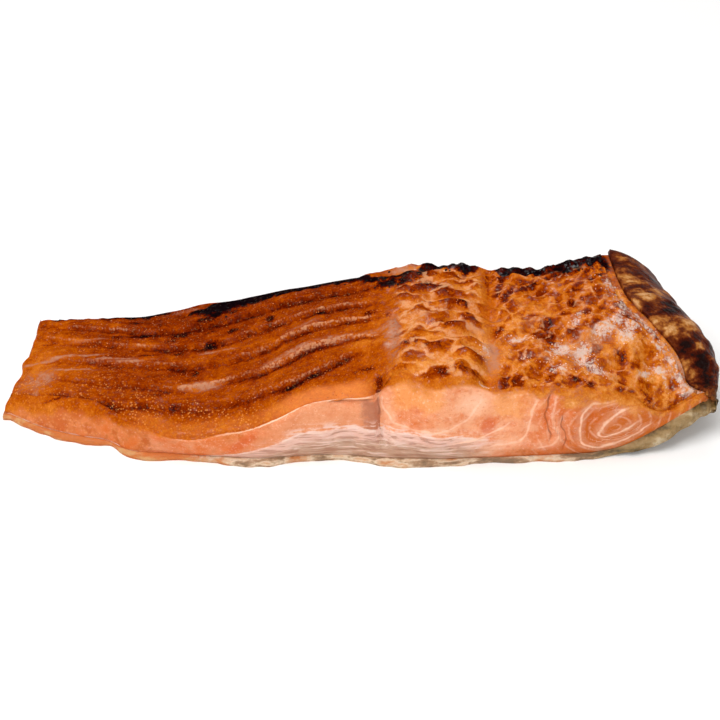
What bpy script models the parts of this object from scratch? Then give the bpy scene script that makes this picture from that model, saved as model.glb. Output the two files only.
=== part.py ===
"""A flame-roasted portion cut across a large rainbow trout fillet, lying skin side down.

X runs along the portion, from its thin belly end (-X) to the thick back of the fish (+X).
The broad cut face is at -Y, the other cut face at +Y, and the roasted top faces +Z. The
origin is at the bottom centre of the portion's box. Sizes and places in this script are
millimetres, and MM turns them into the scene's metres.

The flesh is one body and the skin another. Places on them run from 0 to 1 along u (belly to
back), v (near cut to far cut) and w (skin to roasted top), and the smooth lines below give
the shape. The flesh is a closed box of quads bent into that shape. The skin is a sheet of
quads laid under it and up round the back of the fish, and then given its thickness.
"""
import math

import bmesh
import bpy
import numpy as np
from mathutils import Matrix, Vector, noise

MM = 0.001

# Skin, and how it lies under the flesh
SKIN_THICK = 1.1
SKIN_GAP = 0.3
FLESH_INSET = SKIN_THICK + SKIN_GAP
FAR_Y = 22.6
SKIN_NEAR_OVERHANG = ((-84, 0.8), (-62, 1.0), (-58, 0.4), (-54, 1.3), (-36, 0.9), (-24, 1.8),
                      (-13, 0.6), (-3, 0.5), (6, 1.6), (17, 1.7), (26, 0.8), (45, 1.1),
                      (58, 1.0), (66, 1.8), (84, 2.0))
SKIN_NEAR_DIP = ((58, 0), (62, 1.0), (66, 2.6), (70, 3.4), (75, 3.2), (84, 2.6))
SKIN_FAR_OVERHANG = 0.9
SKIN_BELLY_OVERHANG = 1.0
SKIN_WAVE = 0.35
SKIN_WAVE_SIZE = 3.4
SKIN_WAVE_FIELD = 40.0
SKIN_NEAR_DROP = 0.18
SKIN_NEAR_DROP_V = 0.15
SKIN_LIP = 0.2
SKIN_LIP_FADE_W = (0.35, 0.85)

# Plan and height of the portion, each as (x, value) along its length
NEAR_FOOT_Y = ((-84, -6.5), (-76, -11), (-66, -14.4), (-59, -16.2), (-55, -18.8), (-45, -20.2),
               (-33, -21.4), (-22, -22.0), (-14, -21.2), (-4, -20.8), (5, -21.8), (16, -22.2),
               (30, -21.8), (45, -20.8), (56, -20), (61, -19.3), (65.5, -18.5), (70, -17.3),
               (74.5, -15.6), (80, -12.5))
NEAR_FOOT_LIFT = ((54, 0), (61, 1.0), (65.5, 2.8), (70, 4.9), (74.5, 6.8), (80, 8.4))
NEAR_CREST_Y = ((-84, -3.5), (-80, -5), (-73, -8), (-60, -12), (-55, -16), (-49, -20),
                (-44, -21.4), (-31, -22), (-21, -22), (-11, -21), (-3, -20.5), (4, -20.8),
                (9, -18.5), (15, -21.5), (25, -21.5), (34, -21), (45, -20.5), (52, -20),
                (59, -18.8), (64, -17.8), (70, -16.8), (76, -14.6), (80, -12.5))
NEAR_CREST_Z = ((-84, 4.5), (-80, 5.6), (-73, 8.6), (-66, 9.2), (-60, 9), (-55, 8.8), (-49, 9),
                (-44, 7.8), (-31, 9.2), (-26, 10.4), (-21, 12.8), (-16, 15.6), (-11, 17.7),
                (-4, 18.2), (4, 20.8), (9, 24.6), (15, 25.2), (25, 25.2), (28, 22.8), (34, 22),
                (45, 22), (52, 20.8), (59, 18.6), (64, 15.8), (67, 13), (70, 11.2), (73, 11.2),
                (76.5, 12.6), (80, 13.9))
FAR_CREST_Z = ((-84, 7), (-70, 7.8), (-60, 8.6), (-52, 9.2), (-45, 11), (-40, 12.6), (-30, 14.6),
               (-20, 17), (-10, 19.2), (0, 21.4), (6, 23), (10, 23.8), (24, 24.4), (29, 24),
               (32, 23.4), (36, 23.8), (44, 23.8), (49, 25.2), (54, 27.2), (57, 28.4))
CROWN_Z = ((-84, 0.3), (-60, 0.8), (-20, 1.0), (20, 1.5), (60, 1.2))
BELLY_END_X = ((0, -84), (0.3, -82), (0.65, -80.8), (1, -79.8))
BELLY_FOOT_LEAN = 0.6

# The dorsal end, each as (v, value): the rim where skin and roasted flesh meet, and the
# round nose of the fish's back below it
RIM_X = ((0, 78.6), (0.08, 76.2), (0.15, 75), (0.3, 72.6), (0.45, 66.8), (0.6, 62), (0.8, 59.5),
         (1, 58))
RIM_Y = ((0, -12.5), (0.08, -12), (0.15, -10.6), (0.3, -6), (0.45, -0.5), (0.6, 5), (0.8, 13),
         (1, FAR_Y))
RIM_Z = ((0, 13.9), (0.08, 14.6), (0.15, 15.8), (0.3, 20), (0.45, 24), (0.6, 26), (0.8, 26.8),
         (1, 28.2))
NOSE_REACH = ((0, 5), (0.08, 7.2), (0.15, 9.2), (0.3, 12.6), (0.45, 17.6), (0.6, 20.4), (0.8, 20),
              (1, 18.6))
NOSE_HEADING = ((0, 20), (0.15, 14), (0.3, 12), (0.45, 12), (0.6, 12), (0.8, 8), (1, 0))
NOSE_MIDDLE_Z = ((0, 11.1), (0.3, 11.3), (1, 11))
NOSE_SHOULDER = ((0, 1), (0.5, 1), (1, 1.5))
NOSE_TUCK = 0.6
NOSE_EQUATOR = 0.4
NOSE_ROW_GATHER = 1.25
DORSAL_BLEND_START = 0.8
LIFT_DEPTH = 0.5

# Cut faces
LENGTH = 160
WIDTH = 44
NEAR_BULGE = ((-84, 0.2), (-60, 0.5), (-45, 0.5), (-10, 0.7), (4, 0.2), (8, 1.0), (17, 1.8),
              (27, 0.8), (30, 0.5), (50, 0.8), (66, 0.4), (74, 0))
FAR_BULGE = 0.4
FAR_BULGE_LIMIT = 0.9
NEAR_ROUGHNESS = 0.35
FAR_ROUGHNESS = 0.5
BELLY_END_RAGGED = 0.7
NEAR_LUMP_SIZE, NEAR_LUMP_FIELD = 7.0, 14.0
FAR_LUMP_SIZE, FAR_LUMP_FIELD = 9.0, 21.0
BELLY_END_LUMP_SIZE, BELLY_END_LUMP_FIELD = 4.5, 30.0
FACE_FADE = 6
CALM_ABOVE_SKIN_W = 0.2
EDGE_ROUND = 2.4
EDGE_PULL = 0.7
ON_SIDE = 0.001

# Relief of the roasted top. Each line is where the thin membrane between two flakes comes
# up, as (x, y). The flake behind it stands proud with a steep front.
FLAKE_LINES = (
    ((-84, -3.7), (-76, -6.6), (-66, -9.2), (-57, -12), (-45, -13), (-33, -13.4), (-22, -12.7),
     (-14, -12.7), (-7, -10), (-3, -7.4)),
    ((-84, 2.4), (-64, -4.3), (-56, -5.3), (-46, -7.5), (-36, -7.5), (-28, -6.1), (-21, -6),
     (-16, -4.8), (-8, -2.2), (-1, -1.8)),
    ((-84, 10), (-73, 4.5), (-64, 2.9), (-48, 0.8), (-38, -0.4), (-30, -0.3), (-23, 0.9),
     (-14, 3.4), (-5, 4.6)),
    ((-84, 17), (-71, 11.8), (-55, 8.5), (-41, 6.2), (-33, 6.2), (-25, 8.3), (-16, 8.8),
     (-6, 10)),
    ((-84, 21), (-72, 18), (-58, 15), (-46, 13), (-34, 13.4), (-20, 15.5), (-6, 16)),
)
FLAKE_STEP = 1.3
FLAKE_STEP_WIDTH = 1.6
FLAKE_RUN = 7.5
FLAKE_FADE_X = (-6, 4)

# Clefts across the top, where the flesh parts between two muscle blocks, as (y, x)
CLEFTS = (
    ((-22, 4.5), (-15, 5.4), (-9, 7.6), (1, 8), (12, 6)),
    ((-21, 28.4), (-15, 29.6), (-7, 30.5), (4, 30.7), (14, 31), (FAR_Y, 31.2)),
)
CLEFT_DEPTH = (0.7, 0.9)
CLEFT_HALF_WIDTH = 2.0
CLEFT_END_FADE = 2

# The crack in the near cut face, under the first cleft
CRACK_X = 4.6
CRACK_Z = 12
CRACK_FOOT_Z = 5
CRACK_LEAN = 0.08
CRACK_HALF_WIDTH = 1.1
CRACK_DEPTH = 1.1

# Lumps and pits of the roasted top
TILE_RISE = 0.75
TILE_SIZE, TILE_FIELD = 5.2, 3.0
TILE_FADE_X = (-4, 12)
TILE_ALONG, TILE_SLANT, TILE_ACROSS = 0.7, 0.3, 1.2
GRAIN_RISE = 0.25
GRAIN_SIZE, GRAIN_FIELD = 3.1, 8.0
PITS = ((57.5, 3.5, 2.4, 1.5), (52, 17, 2.2, 1.2), (46.5, -9, 2, 1.0), (41, 11, 2, 0.9),
        (58, -13, 3, 1.2), (66, -9.5, 2.4, 1.1), (40.5, 20, 2, 1.1), (24, 15, 2.2, 0.8))

# Rings and folds of the near cut face, as (x, z, half length, half height, depth)
FACE_DENTS = ((47, 10, 1.2, 7, 0.7), (62, 9.5, 5.5, 3.4, -0.8), (53, 13, 1.4, 6, 0.5),
              (-2, 16.5, 5, 1.6, 0.8), (-38, 7.6, 12, 1.4, -0.5), (70, 6, 3, 2, -0.5))

# Number of quads along u, v and w. The skin skips rows of the flesh where both are flat.
FLESH_CELLS = (88, 24, 12)
SKIN_ROW_SKIP = 4
SKIN_FINE_ROWS = 16

NOISE_GAIN = 1.6
WELD_DISTANCE = 1e-4
LEVEL_TOLERANCE = 1e-7
FLAT_ANGLE = math.radians(1)

FLESH_COLOUR = (0.62, 0.17, 0.05, 1)
FLESH_ROUGHNESS = 0.4
SKIN_COLOUR = (0.22, 0.15, 0.08, 1)
SKIN_ROUGHNESS = 0.35


def smooth_line(points, at):
    """Height of the smooth line through points at each place, level past both its ends."""
    place, height = np.array(points, float).T
    slope = np.gradient(height, place)
    at = np.clip(at, place[0], place[-1])
    i = np.clip(np.searchsorted(place, at) - 1, 0, len(place) - 2)
    span = place[i + 1] - place[i]
    t = (at - place[i]) / span
    start = (2 * t**3 - 3 * t**2 + 1) * height[i] + (t**3 - 2 * t**2 + t) * span * slope[i]
    end = (3 * t**2 - 2 * t**3) * height[i + 1] + (t**3 - t**2) * span * slope[i + 1]
    return start + end


def ease(value, low, high):
    """Smooth rise from 0 at low to 1 at high."""
    t = np.clip((value - low) / (high - low), 0, 1)
    return t * t * (3 - 2 * t)


def lumps(x, y, z, size, place):
    """Smooth noise from about -1 to 1, with lumps of the given size; place picks a field."""
    return NOISE_GAIN * np.array([noise.noise(Vector((a / size + place, b / size, c / size)))
                                  for a, b, c in zip(x, y, z)])


def ruled_top(x, v):
    """Depth and height of the top, ruled from crest to crest with a crown between."""
    y = smooth_line(NEAR_CREST_Y, x) * (1 - v) + FAR_Y * v
    z = smooth_line(NEAR_CREST_Z, x) * (1 - v) + smooth_line(FAR_CREST_Z, x) * v
    return y, z + smooth_line(CROWN_Z, x) * 4 * v * (1 - v)


def top_point(u, v):
    """A point of the roasted top, before its relief."""
    rim_x = smooth_line(RIM_X, v)
    x = smooth_line(BELLY_END_X, v) * (1 - u) + rim_x * u
    y, z = ruled_top(x, v)
    end_y, end_z = ruled_top(rim_x, v)
    dorsal = ease(u, DORSAL_BLEND_START, 1)
    y = y + (smooth_line(RIM_Y, v) - end_y) * dorsal
    z = z + (smooth_line(RIM_Z, v) - end_z) * dorsal
    return x, y, z


def foot_lift(x, v):
    """How far the underside is off the table, near the dorsal end of the near cut."""
    return smooth_line(NEAR_FOOT_LIFT, x) * (1 - ease(v, 0, LIFT_DEPTH))


def nose_point(v, w, inset):
    """A point of the round dorsal end, from its foot (w 0) up to the rim (w 1).

    inset is how far the surface lies below the outside of the skin.
    """
    reach = smooth_line(NOSE_REACH, v) - inset
    middle = smooth_line(NOSE_MIDDLE_Z, v)
    rise = smooth_line(RIM_Z, v) - middle - inset
    heading = np.radians(smooth_line(NOSE_HEADING, v))
    foot_x = smooth_line(RIM_X, v) + reach * NOSE_TUCK * np.cos(heading)
    drop = middle - inset - foot_lift(foot_x, v)
    gathered = np.clip(1 - w, 0, 1) ** NOSE_ROW_GATHER
    turn = (1 - NOSE_EQUATOR) ** NOSE_ROW_GATHER
    upper = np.clip(gathered / turn, 0, 1) * math.pi / 2
    lower = np.clip((gathered - turn) / (1 - turn), 0, 1) * math.pi / 2
    above = gathered <= turn
    out = reach * np.where(above, np.sin(upper), NOSE_TUCK + (1 - NOSE_TUCK) * np.cos(lower))
    shoulder = np.clip(np.cos(upper), 0, 1) ** smooth_line(NOSE_SHOULDER, v)
    z = middle + np.where(above, rise * shoulder, -drop * np.sin(lower))
    x = smooth_line(RIM_X, v) + out * np.cos(heading)
    y = smooth_line(RIM_Y, v) + out * np.sin(heading)
    return x, y, z


def base_point(u, v, inset):
    """A point of the underside, inset above the outside of the skin."""
    end_x, end_y, _ = nose_point(v, np.zeros_like(v), inset)
    x = (smooth_line(BELLY_END_X, v) - BELLY_FOOT_LEAN) * (1 - u) + end_x * u
    y = smooth_line(NEAR_FOOT_Y, x) * (1 - v) + FAR_Y * v
    ruled_end = smooth_line(NEAR_FOOT_Y, end_x) * (1 - v) + FAR_Y * v
    y = y + (end_y - ruled_end) * ease(u, DORSAL_BLEND_START, 1)
    return x, y, inset + foot_lift(x, v)


def flake_relief(x, y):
    """Height of the shingled flakes over the belly: a step at each line, then a slope."""
    relief = np.zeros_like(x)
    for line in FLAKE_LINES:
        behind = y - smooth_line(line, x)
        step = ease(behind, -FLAKE_STEP_WIDTH / 2, FLAKE_STEP_WIDTH / 2)
        relief += FLAKE_STEP * step * (1 - ease(behind, 0, FLAKE_RUN))
    return (relief - FLAKE_STEP / 2) * (1 - ease(x, *FLAKE_FADE_X))


def cleft_relief(x, y):
    """Depth of the clefts between muscle blocks."""
    relief = np.zeros_like(x)
    for line, depth in zip(CLEFTS, CLEFT_DEPTH):
        away = (x - smooth_line(line, y)) / CLEFT_HALF_WIDTH
        depth_run = line[-1][0] - line[0][0]
        reach = 1 - ease(np.abs(y - line[0][0]), depth_run - CLEFT_END_FADE,
                         depth_run + CLEFT_END_FADE)
        relief -= depth * np.exp(-away**2) * reach
    return relief


def tile_relief(x, y):
    """Lumps and pits where the thick blocks roasted into small tiles."""
    rows = lumps(x * TILE_ALONG - y * TILE_SLANT, y * TILE_ACROSS, 0 * x, TILE_SIZE, TILE_FIELD)
    relief = TILE_RISE * (1 - np.abs(rows) * 2) * ease(x, *TILE_FADE_X)
    relief += GRAIN_RISE * lumps(x, y, 0 * x, GRAIN_SIZE, GRAIN_FIELD)
    for pit_x, pit_y, radius, depth in PITS:
        away = ((x - pit_x) ** 2 + (y - pit_y) ** 2) / radius**2
        relief -= depth * np.exp(-away)
    return relief


def near_relief(x, z):
    """How far the near cut face stands out: its rings and folds, and the crack across it."""
    relief = NEAR_ROUGHNESS * lumps(x, 0 * x, z, NEAR_LUMP_SIZE, NEAR_LUMP_FIELD)
    for dent_x, dent_z, half_length, half_height, depth in FACE_DENTS:
        away = ((x - dent_x) / half_length) ** 2 + ((z - dent_z) / half_height) ** 2
        relief -= depth * np.exp(-away)
    from_crack = (x - CRACK_X - CRACK_LEAN * (z - CRACK_Z)) / CRACK_HALF_WIDTH
    return relief - CRACK_DEPTH * np.exp(-from_crack**2) * ease(z, CRACK_FOOT_Z, CRACK_Z)


def edge_pull(distance):
    """How far an edge of the flesh is pulled in, at a distance from that edge."""
    return EDGE_PULL * np.clip(1 - distance / EDGE_ROUND, 0, 1) ** 2


def flesh_body(u, v, w):
    """The flesh's surface before its relief: ruled from skin to top, then the round nose."""
    top = top_point(u, v)
    foot = base_point(u, v, FLESH_INSET)
    at_end = np.ones_like(u)
    end_top = top_point(at_end, v)
    end_foot = base_point(at_end, v, FLESH_INSET)
    below_rim = w < 1 - ON_SIDE
    nose = nose_point(v, w, FLESH_INSET * below_rim)
    near_end = ease(u, DORSAL_BLEND_START, 1) ** 2
    body = []
    for low, high, end_low, end_high, round_end in zip(foot, top, end_foot, end_top, nose):
        ruled_end = end_low + (end_high - end_low) * w
        body.append(low + (high - low) * w + (round_end - ruled_end) * near_end)
    return body, top[2] - foot[2]


def flesh_points(u, v, w):
    """The flesh's surface for every corner of its box of quads."""
    (x, y, z), height = flesh_body(u, v, w)
    on_top = w > 1 - ON_SIDE
    on_near = v < ON_SIDE
    on_far = v > 1 - ON_SIDE
    on_belly_end = u < ON_SIDE
    from_dorsal = LENGTH * (1 - u)
    above_skin = ease(w, 0, CALM_ABOVE_SKIN_W)
    belly = 4 * w * (1 - w)

    stands_out = smooth_line(NEAR_BULGE, x) * belly + near_relief(x, z) * above_skin
    y = y - np.where(on_near, stands_out * ease(from_dorsal, 0, FACE_FADE), 0)
    rough = FAR_ROUGHNESS * lumps(x, 0 * x, z, FAR_LUMP_SIZE, FAR_LUMP_FIELD) * above_skin
    stands_out = (FAR_BULGE * belly + rough) * ease(from_dorsal, 0, FACE_FADE)
    y = y + np.where(on_far, np.minimum(stands_out, FAR_BULGE_LIMIT), 0)
    ragged = lumps(0 * x, y, z, BELLY_END_LUMP_SIZE, BELLY_END_LUMP_FIELD)
    ragged *= BELLY_END_RAGGED * above_skin
    x = x - np.where(on_belly_end, ragged, 0)

    relief = flake_relief(x, y) + cleft_relief(x, y) + tile_relief(x, y)
    relief *= ease(from_dorsal, 0, FACE_FADE) * ease(LENGTH * u, 0, FACE_FADE / 2)
    z = z + np.where(on_top, relief, 0)

    from_top = height * (1 - w)
    pull = np.where(on_top | on_near, edge_pull(WIDTH * v + from_top), 0)
    y, z = y + pull, z - pull
    pull = np.where(on_top | on_far, edge_pull(WIDTH * (1 - v) + from_top), 0)
    return x, y - pull, z - pull


def box_of_quads(cells):
    """A closed cube from -1 to 1 whose sides are grids, cells quads along X, Y and Z."""
    along_x, along_y, along_z = cells
    quarter = math.pi / 2
    sides = (
        (along_x, along_y, Matrix.Identity(4)),
        (along_x, along_y, Matrix.Rotation(math.pi, 4, "X")),
        (along_z, along_y, Matrix.Rotation(quarter, 4, "Y")),
        (along_z, along_y, Matrix.Rotation(-quarter, 4, "Y")),
        (along_x, along_z, Matrix.Rotation(quarter, 4, "X")),
        (along_x, along_z, Matrix.Rotation(-quarter, 4, "X")),
    )
    bm = bmesh.new()
    for across, up, turn in sides:
        bmesh.ops.create_grid(bm, x_segments=across, y_segments=up, size=1,
                              matrix=turn @ Matrix.Translation((0, 0, 1)))
    bmesh.ops.remove_doubles(bm, verts=bm.verts, dist=WELD_DISTANCE)
    return bm


def write_points(mesh, points):
    """Move a mesh's points to the given places in millimetres."""
    mesh.vertices.foreach_set("co", (np.stack(points, axis=1) * MM).ravel())
    mesh.update()


def read_points(mesh):
    """A mesh's points as three arrays."""
    flat = np.empty(len(mesh.vertices) * 3)
    mesh.vertices.foreach_get("co", flat)
    return flat.reshape(-1, 3).T


def plain_material(name, colour, roughness):
    """A plain surface of one colour."""
    material = bpy.data.materials.new(name)
    material.use_nodes = True
    surface = material.node_tree.nodes["Principled BSDF"]
    surface.inputs["Base Color"].default_value = colour
    surface.inputs["Roughness"].default_value = roughness
    surface.inputs["Metallic"].default_value = 0
    return material


def add_object(name, mesh, material, collection):
    """Put a mesh in the scene as a named, smooth shaded piece."""
    mesh.materials.append(material)
    mesh.shade_smooth()
    piece = bpy.data.objects.new(name, mesh)
    collection.objects.link(piece)
    return piece


def flatten_base(mesh):
    """Merge the quads of the flat underside, which need no detail, into few faces."""
    bm = bmesh.new()
    bm.from_mesh(mesh)
    level = [face for face in bm.faces
             if all(abs(corner.co.z - FLESH_INSET * MM) < LEVEL_TOLERANCE
                    for corner in face.verts)]
    rim = {edge for face in level for edge in face.edges
           if any(other not in level for other in edge.link_faces)}
    inner = [face for face in level if not any(edge in rim for edge in face.edges)]
    edges = list({edge for face in inner for edge in face.edges})
    corners = list({corner for face in inner for corner in face.verts})
    bmesh.ops.dissolve_limit(bm, angle_limit=FLAT_ANGLE, verts=corners, edges=edges)
    bmesh.ops.triangulate(bm, faces=bm.faces, quad_method="BEAUTY", ngon_method="BEAUTY")
    bm.to_mesh(mesh)
    bm.free()


def build_flesh(collection):
    """The roasted flesh, one body."""
    bm = box_of_quads(FLESH_CELLS)
    mesh = bpy.data.meshes.new("flesh")
    bm.to_mesh(mesh)
    bm.free()
    u, v, w = (read_points(mesh) + 1) / 2
    write_points(mesh, flesh_points(u, v, w))
    flatten_base(mesh)
    material = plain_material("roasted flesh", FLESH_COLOUR, FLESH_ROUGHNESS)
    return add_object("flesh", mesh, material, collection)


def build_skin(collection):
    """The skin: a thin shell under the flesh that turns up round the dorsal end."""
    along, across, up = FLESH_CELLS
    coarse_rows = (along - SKIN_FINE_ROWS) // SKIN_ROW_SKIP
    base_cells = coarse_rows + SKIN_FINE_ROWS
    nose_cells = up - 1
    bm = bmesh.new()
    bmesh.ops.create_grid(bm, x_segments=base_cells + nose_cells, y_segments=across + 2, size=1)
    mesh = bpy.data.meshes.new("skin")
    bm.to_mesh(mesh)
    bm.free()
    s, t, _ = read_points(mesh)
    row = (s + 1) / 2 * (base_cells + nose_cells)
    column = (t + 1) / 2 * (across + 2) - 1
    v = np.clip(column / across, 0, 1)
    fine_row = np.clip(row - coarse_rows, 0, SKIN_FINE_ROWS)
    u = (np.minimum(row, coarse_rows) * SKIN_ROW_SKIP + fine_row) / along
    w = np.clip((row - base_cells) / (nose_cells + 1), 0, 1)
    w = w * (1 - SKIN_NEAR_DROP * (1 - ease(v, 0, SKIN_NEAR_DROP_V)))

    base = base_point(u, v, SKIN_THICK)
    nose = nose_point(v, w, SKIN_THICK)
    on_nose = row > base_cells
    x, y, z = (np.where(on_nose, n, b) for n, b in zip(nose, base))

    past_near = column < -0.5
    past_far = column > across + 0.5
    past_belly = row < 0.5
    wave = SKIN_WAVE * lumps(x, y, z, SKIN_WAVE_SIZE, SKIN_WAVE_FIELD)
    below_rim = 1 - ease(w, *SKIN_LIP_FADE_W)
    overhang = (smooth_line(SKIN_NEAR_OVERHANG, x) + wave) * below_rim + SKIN_LIP
    y = y - np.where(past_near, overhang, 0)
    y = y + np.where(past_far, SKIN_FAR_OVERHANG, 0)
    z = z - np.where(past_near, smooth_line(SKIN_NEAR_DIP, x) * below_rim, 0)
    x = x - np.where(past_belly, SKIN_BELLY_OVERHANG + wave, 0)
    write_points(mesh, (x, y, z))

    material = plain_material("roasted skin", SKIN_COLOUR, SKIN_ROUGHNESS)
    skin = add_object("skin", mesh, material, collection)
    shell = skin.modifiers.new("thickness", "SOLIDIFY")
    shell.thickness = SKIN_THICK * MM
    shell.offset = -1
    shell.use_even_offset = True
    return skin


def main():
    """Clear the scene and build the portion."""
    for old in list(bpy.data.objects):
        bpy.data.objects.remove(old, do_unlink=True)
    collection = bpy.data.collections.new("trout fillet portion")
    bpy.context.scene.collection.children.link(collection)
    build_flesh(collection)
    build_skin(collection)


main()
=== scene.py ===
"""Looks of a flame-roasted trout fillet portion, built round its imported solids.

The portion lies skin side down. X runs from the thin belly end to the thick back of the
fish, the broad cut face looks along -Y, and the roasted top faces +Z. Sizes and places are
millimetres, and MM turns them into the scene's metres. Places on the portion run from 0 to 1
along u (belly to back), v (near cut to far cut) and w (skin to roasted top).
"""
from __future__ import annotations

import logging
import math
from dataclasses import dataclass, field
from enum import Enum
from typing import Any, Optional, Sequence, Union

import bmesh
import bpy
import numpy as np
from bpy.types import ColorRamp, Material, Mesh, Node, NodeSocket, NodeTree, Object
from mathutils import Matrix, Vector, noise


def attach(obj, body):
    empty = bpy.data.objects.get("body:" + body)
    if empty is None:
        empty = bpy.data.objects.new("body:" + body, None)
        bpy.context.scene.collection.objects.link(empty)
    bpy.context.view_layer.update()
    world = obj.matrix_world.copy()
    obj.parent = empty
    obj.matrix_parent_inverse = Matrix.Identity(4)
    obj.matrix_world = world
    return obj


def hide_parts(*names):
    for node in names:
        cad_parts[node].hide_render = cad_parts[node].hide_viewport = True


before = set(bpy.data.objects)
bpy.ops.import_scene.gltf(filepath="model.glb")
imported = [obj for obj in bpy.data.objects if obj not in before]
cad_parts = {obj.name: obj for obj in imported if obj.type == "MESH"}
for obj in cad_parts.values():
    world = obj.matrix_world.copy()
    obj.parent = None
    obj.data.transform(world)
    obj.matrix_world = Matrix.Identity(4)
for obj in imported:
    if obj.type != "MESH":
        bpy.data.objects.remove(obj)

MM = 0.001
log = logging.getLogger("trout_portion")

Array = np.ndarray
Places = tuple[Array, Array, Array]
Line = Sequence[tuple[float, float]]
# A Range runs from absent to full, and a Span on to where it starts to go and has gone.
Range = tuple[float, float]
Span = tuple[float, float, float, float]
Place = tuple[float, float, float]
Rows = Sequence[tuple[float, ...]]
Tint = tuple[int, int, int]
Stops = Sequence[tuple[float, Tint]]
Masks = dict[str, Array]


def smooth_line(points: Line, at: Array) -> Array:
    """Read a smooth line through a few points.

    Args:
        points: (place, value) pairs in order of place.
        at: places to read.

    Returns:
        The value at each place, level past both ends.
    """
    place, height = np.array(points, float).T
    slope = np.gradient(height, place)
    at = np.clip(at, place[0], place[-1])
    i = np.clip(np.searchsorted(place, at) - 1, 0, len(place) - 2)
    span = place[i + 1] - place[i]
    t = (at - place[i]) / span
    start = (2 * t**3 - 3 * t**2 + 1) * height[i] + (t**3 - 2 * t**2 + t) * span * slope[i]
    end = (3 * t**2 - 2 * t**3) * height[i + 1] + (t**3 - t**2) * span * slope[i + 1]
    return start + end


def ease(value: Array, low: float, high: float) -> Array:
    """Smooth rise from 0 at low to 1 at high."""
    t = np.clip((value - low) / (high - low), 0, 1)
    return t * t * (3 - 2 * t)


def within(value: Array, low: float, full: float, still: float, gone: float) -> Array:
    """Smooth rise from 0 at low to 1 at full, and smooth fall from 1 at still to 0 at gone."""
    return ease(value, low, full) * (1 - ease(value, still, gone))


def peak(away: Array, width: float) -> Array:
    """1 where a distance is 0, fading away over a width on either side."""
    return np.exp(-((away / width) ** 2))


def lumps(x: Array, y: Array, z: Array, size: float, place: float) -> Array:
    """Smooth noise from about -1 to 1.

    Args:
        x: places along X.
        y: places along Y.
        z: places along Z.
        size: size of a lump.
        place: picks one of many fields.

    Returns:
        The height of the noise at each place.
    """
    gain = 1.6
    return gain * np.array([noise.noise(Vector((a / size + place, b / size, c / size)))
                            for a, b, c in zip(x, y, z)])


def smooth_path(points: Line, parts: int = 8) -> Array:
    """Round the corners of a path.

    Args:
        points: the path's points.
        parts: how many runs each stretch between two points is given.

    Returns:
        The points of a smooth path through them.
    """
    knots = np.arange(len(points), dtype=float)
    at = np.linspace(0, knots[-1], (len(points) - 1) * parts + 1)
    return np.stack([smooth_line(list(zip(knots, side)), at) for side in zip(*points)], axis=1)


def signed_away(x: Array, y: Array, path: Array) -> tuple[Array, Array]:
    """Signed distance to a path, and how far from its ends the nearest point lies.

    Args:
        x: first coordinate of the places.
        y: second coordinate of the places.
        path: the path's points.

    Returns:
        The distance, negative right of the path, and the length left to the nearer end.
    """
    steps = np.hypot(*np.diff(path, axis=0).T)
    starts = np.concatenate(([0], np.cumsum(steps)))
    nearest, side, left = np.full_like(x, 1e9), np.ones_like(x), np.zeros_like(x)
    for (ax, ay), (bx, by), step, start in zip(path, path[1:], steps, starts):
        run_x, run_y = (bx - ax) / step, (by - ay) / step
        along = np.clip((x - ax) * run_x + (y - ay) * run_y, 0, step)
        away = np.hypot(x - ax - along * run_x, y - ay - along * run_y)
        closer = away < nearest
        nearest = np.where(closer, away, nearest)
        turn = run_x * (y - ay) - run_y * (x - ax)
        side = np.where(closer, np.where(turn < 0, -1, 1), side)
        to_end = np.minimum(start + along, starts[-1] - start - along)
        left = np.where(closer, to_end, left)
    return nearest * side, left


def cells(x: Array, y: Array, size_x: float, size_y: float,
          seed: int) -> tuple[Array, Array, Array, Array]:
    """Distances to the two nearest points of a jittered grid.

    Args:
        x: places along the cells' first axis.
        y: places along their second axis.
        size_x: length of a cell.
        size_y: width of a cell.
        seed: picks the jitter.

    Returns:
        The nearest and the second nearest distance in cells, the nearest cell's own number,
        and how far beyond its point along Y the place lies.
    """
    draw = np.random.default_rng(seed)
    count = 64
    jitter = draw.uniform(0.12, 0.88, (count, count, 2))
    chances = draw.uniform(0, 1, (count, count))
    px, py = x / size_x, y / size_y
    column, row = np.floor(px).astype(int), np.floor(py).astype(int)
    first, second = np.full_like(px, 9.0), np.full_like(px, 9.0)
    chance, beyond = np.zeros_like(px), np.zeros_like(px)
    for step_x in (-1, 0, 1):
        for step_y in (-1, 0, 1):
            at = (column + step_x) % count, (row + step_y) % count
            shift = jitter[at]
            away = np.hypot(column + step_x + shift[:, 0] - px, row + step_y + shift[:, 1] - py)
            chance = np.where(away < first, chances[at], chance)
            beyond = np.where(away < first, py - row - step_y - shift[:, 1], beyond)
            second = np.minimum(second, np.maximum(first, away))
            first = np.minimum(first, away)
    return first, second, chance, beyond


class Mark(Enum):
    """What a spot on the roasted top does to it."""

    CHAR = "char"
    DARK = "dark"
    PALE = "pale"
    CURD = "curd"
    FILM = "film"
    PIT = "pit"


@dataclass(frozen=True)
class Oval:
    """An oval patch, strongest in its middle.

    Args:
        x: its middle along X.
        y: its middle along Y, or along Z on a cut face.
        half_length: half its length.
        half_width: half its width.
        strength: how strong it is in the middle.
        turn: degrees that its length is turned from X.
    """

    x: float
    y: float
    half_length: float
    half_width: float
    strength: float = 1.0
    turn: float = 0.0

    def at(self, x: Array, y: Array) -> Array:
        """Read the oval.

        Args:
            x: places along X.
            y: places along Y, or along Z on a cut face.

        Returns:
            Its strength at each place.
        """
        turn = math.radians(self.turn)
        along = (x - self.x) * math.cos(turn) + (y - self.y) * math.sin(turn)
        across = (y - self.y) * math.cos(turn) - (x - self.x) * math.sin(turn)
        away = (along / self.half_length) ** 2 + (across / self.half_width) ** 2
        return self.strength * np.exp(-away)


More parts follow.
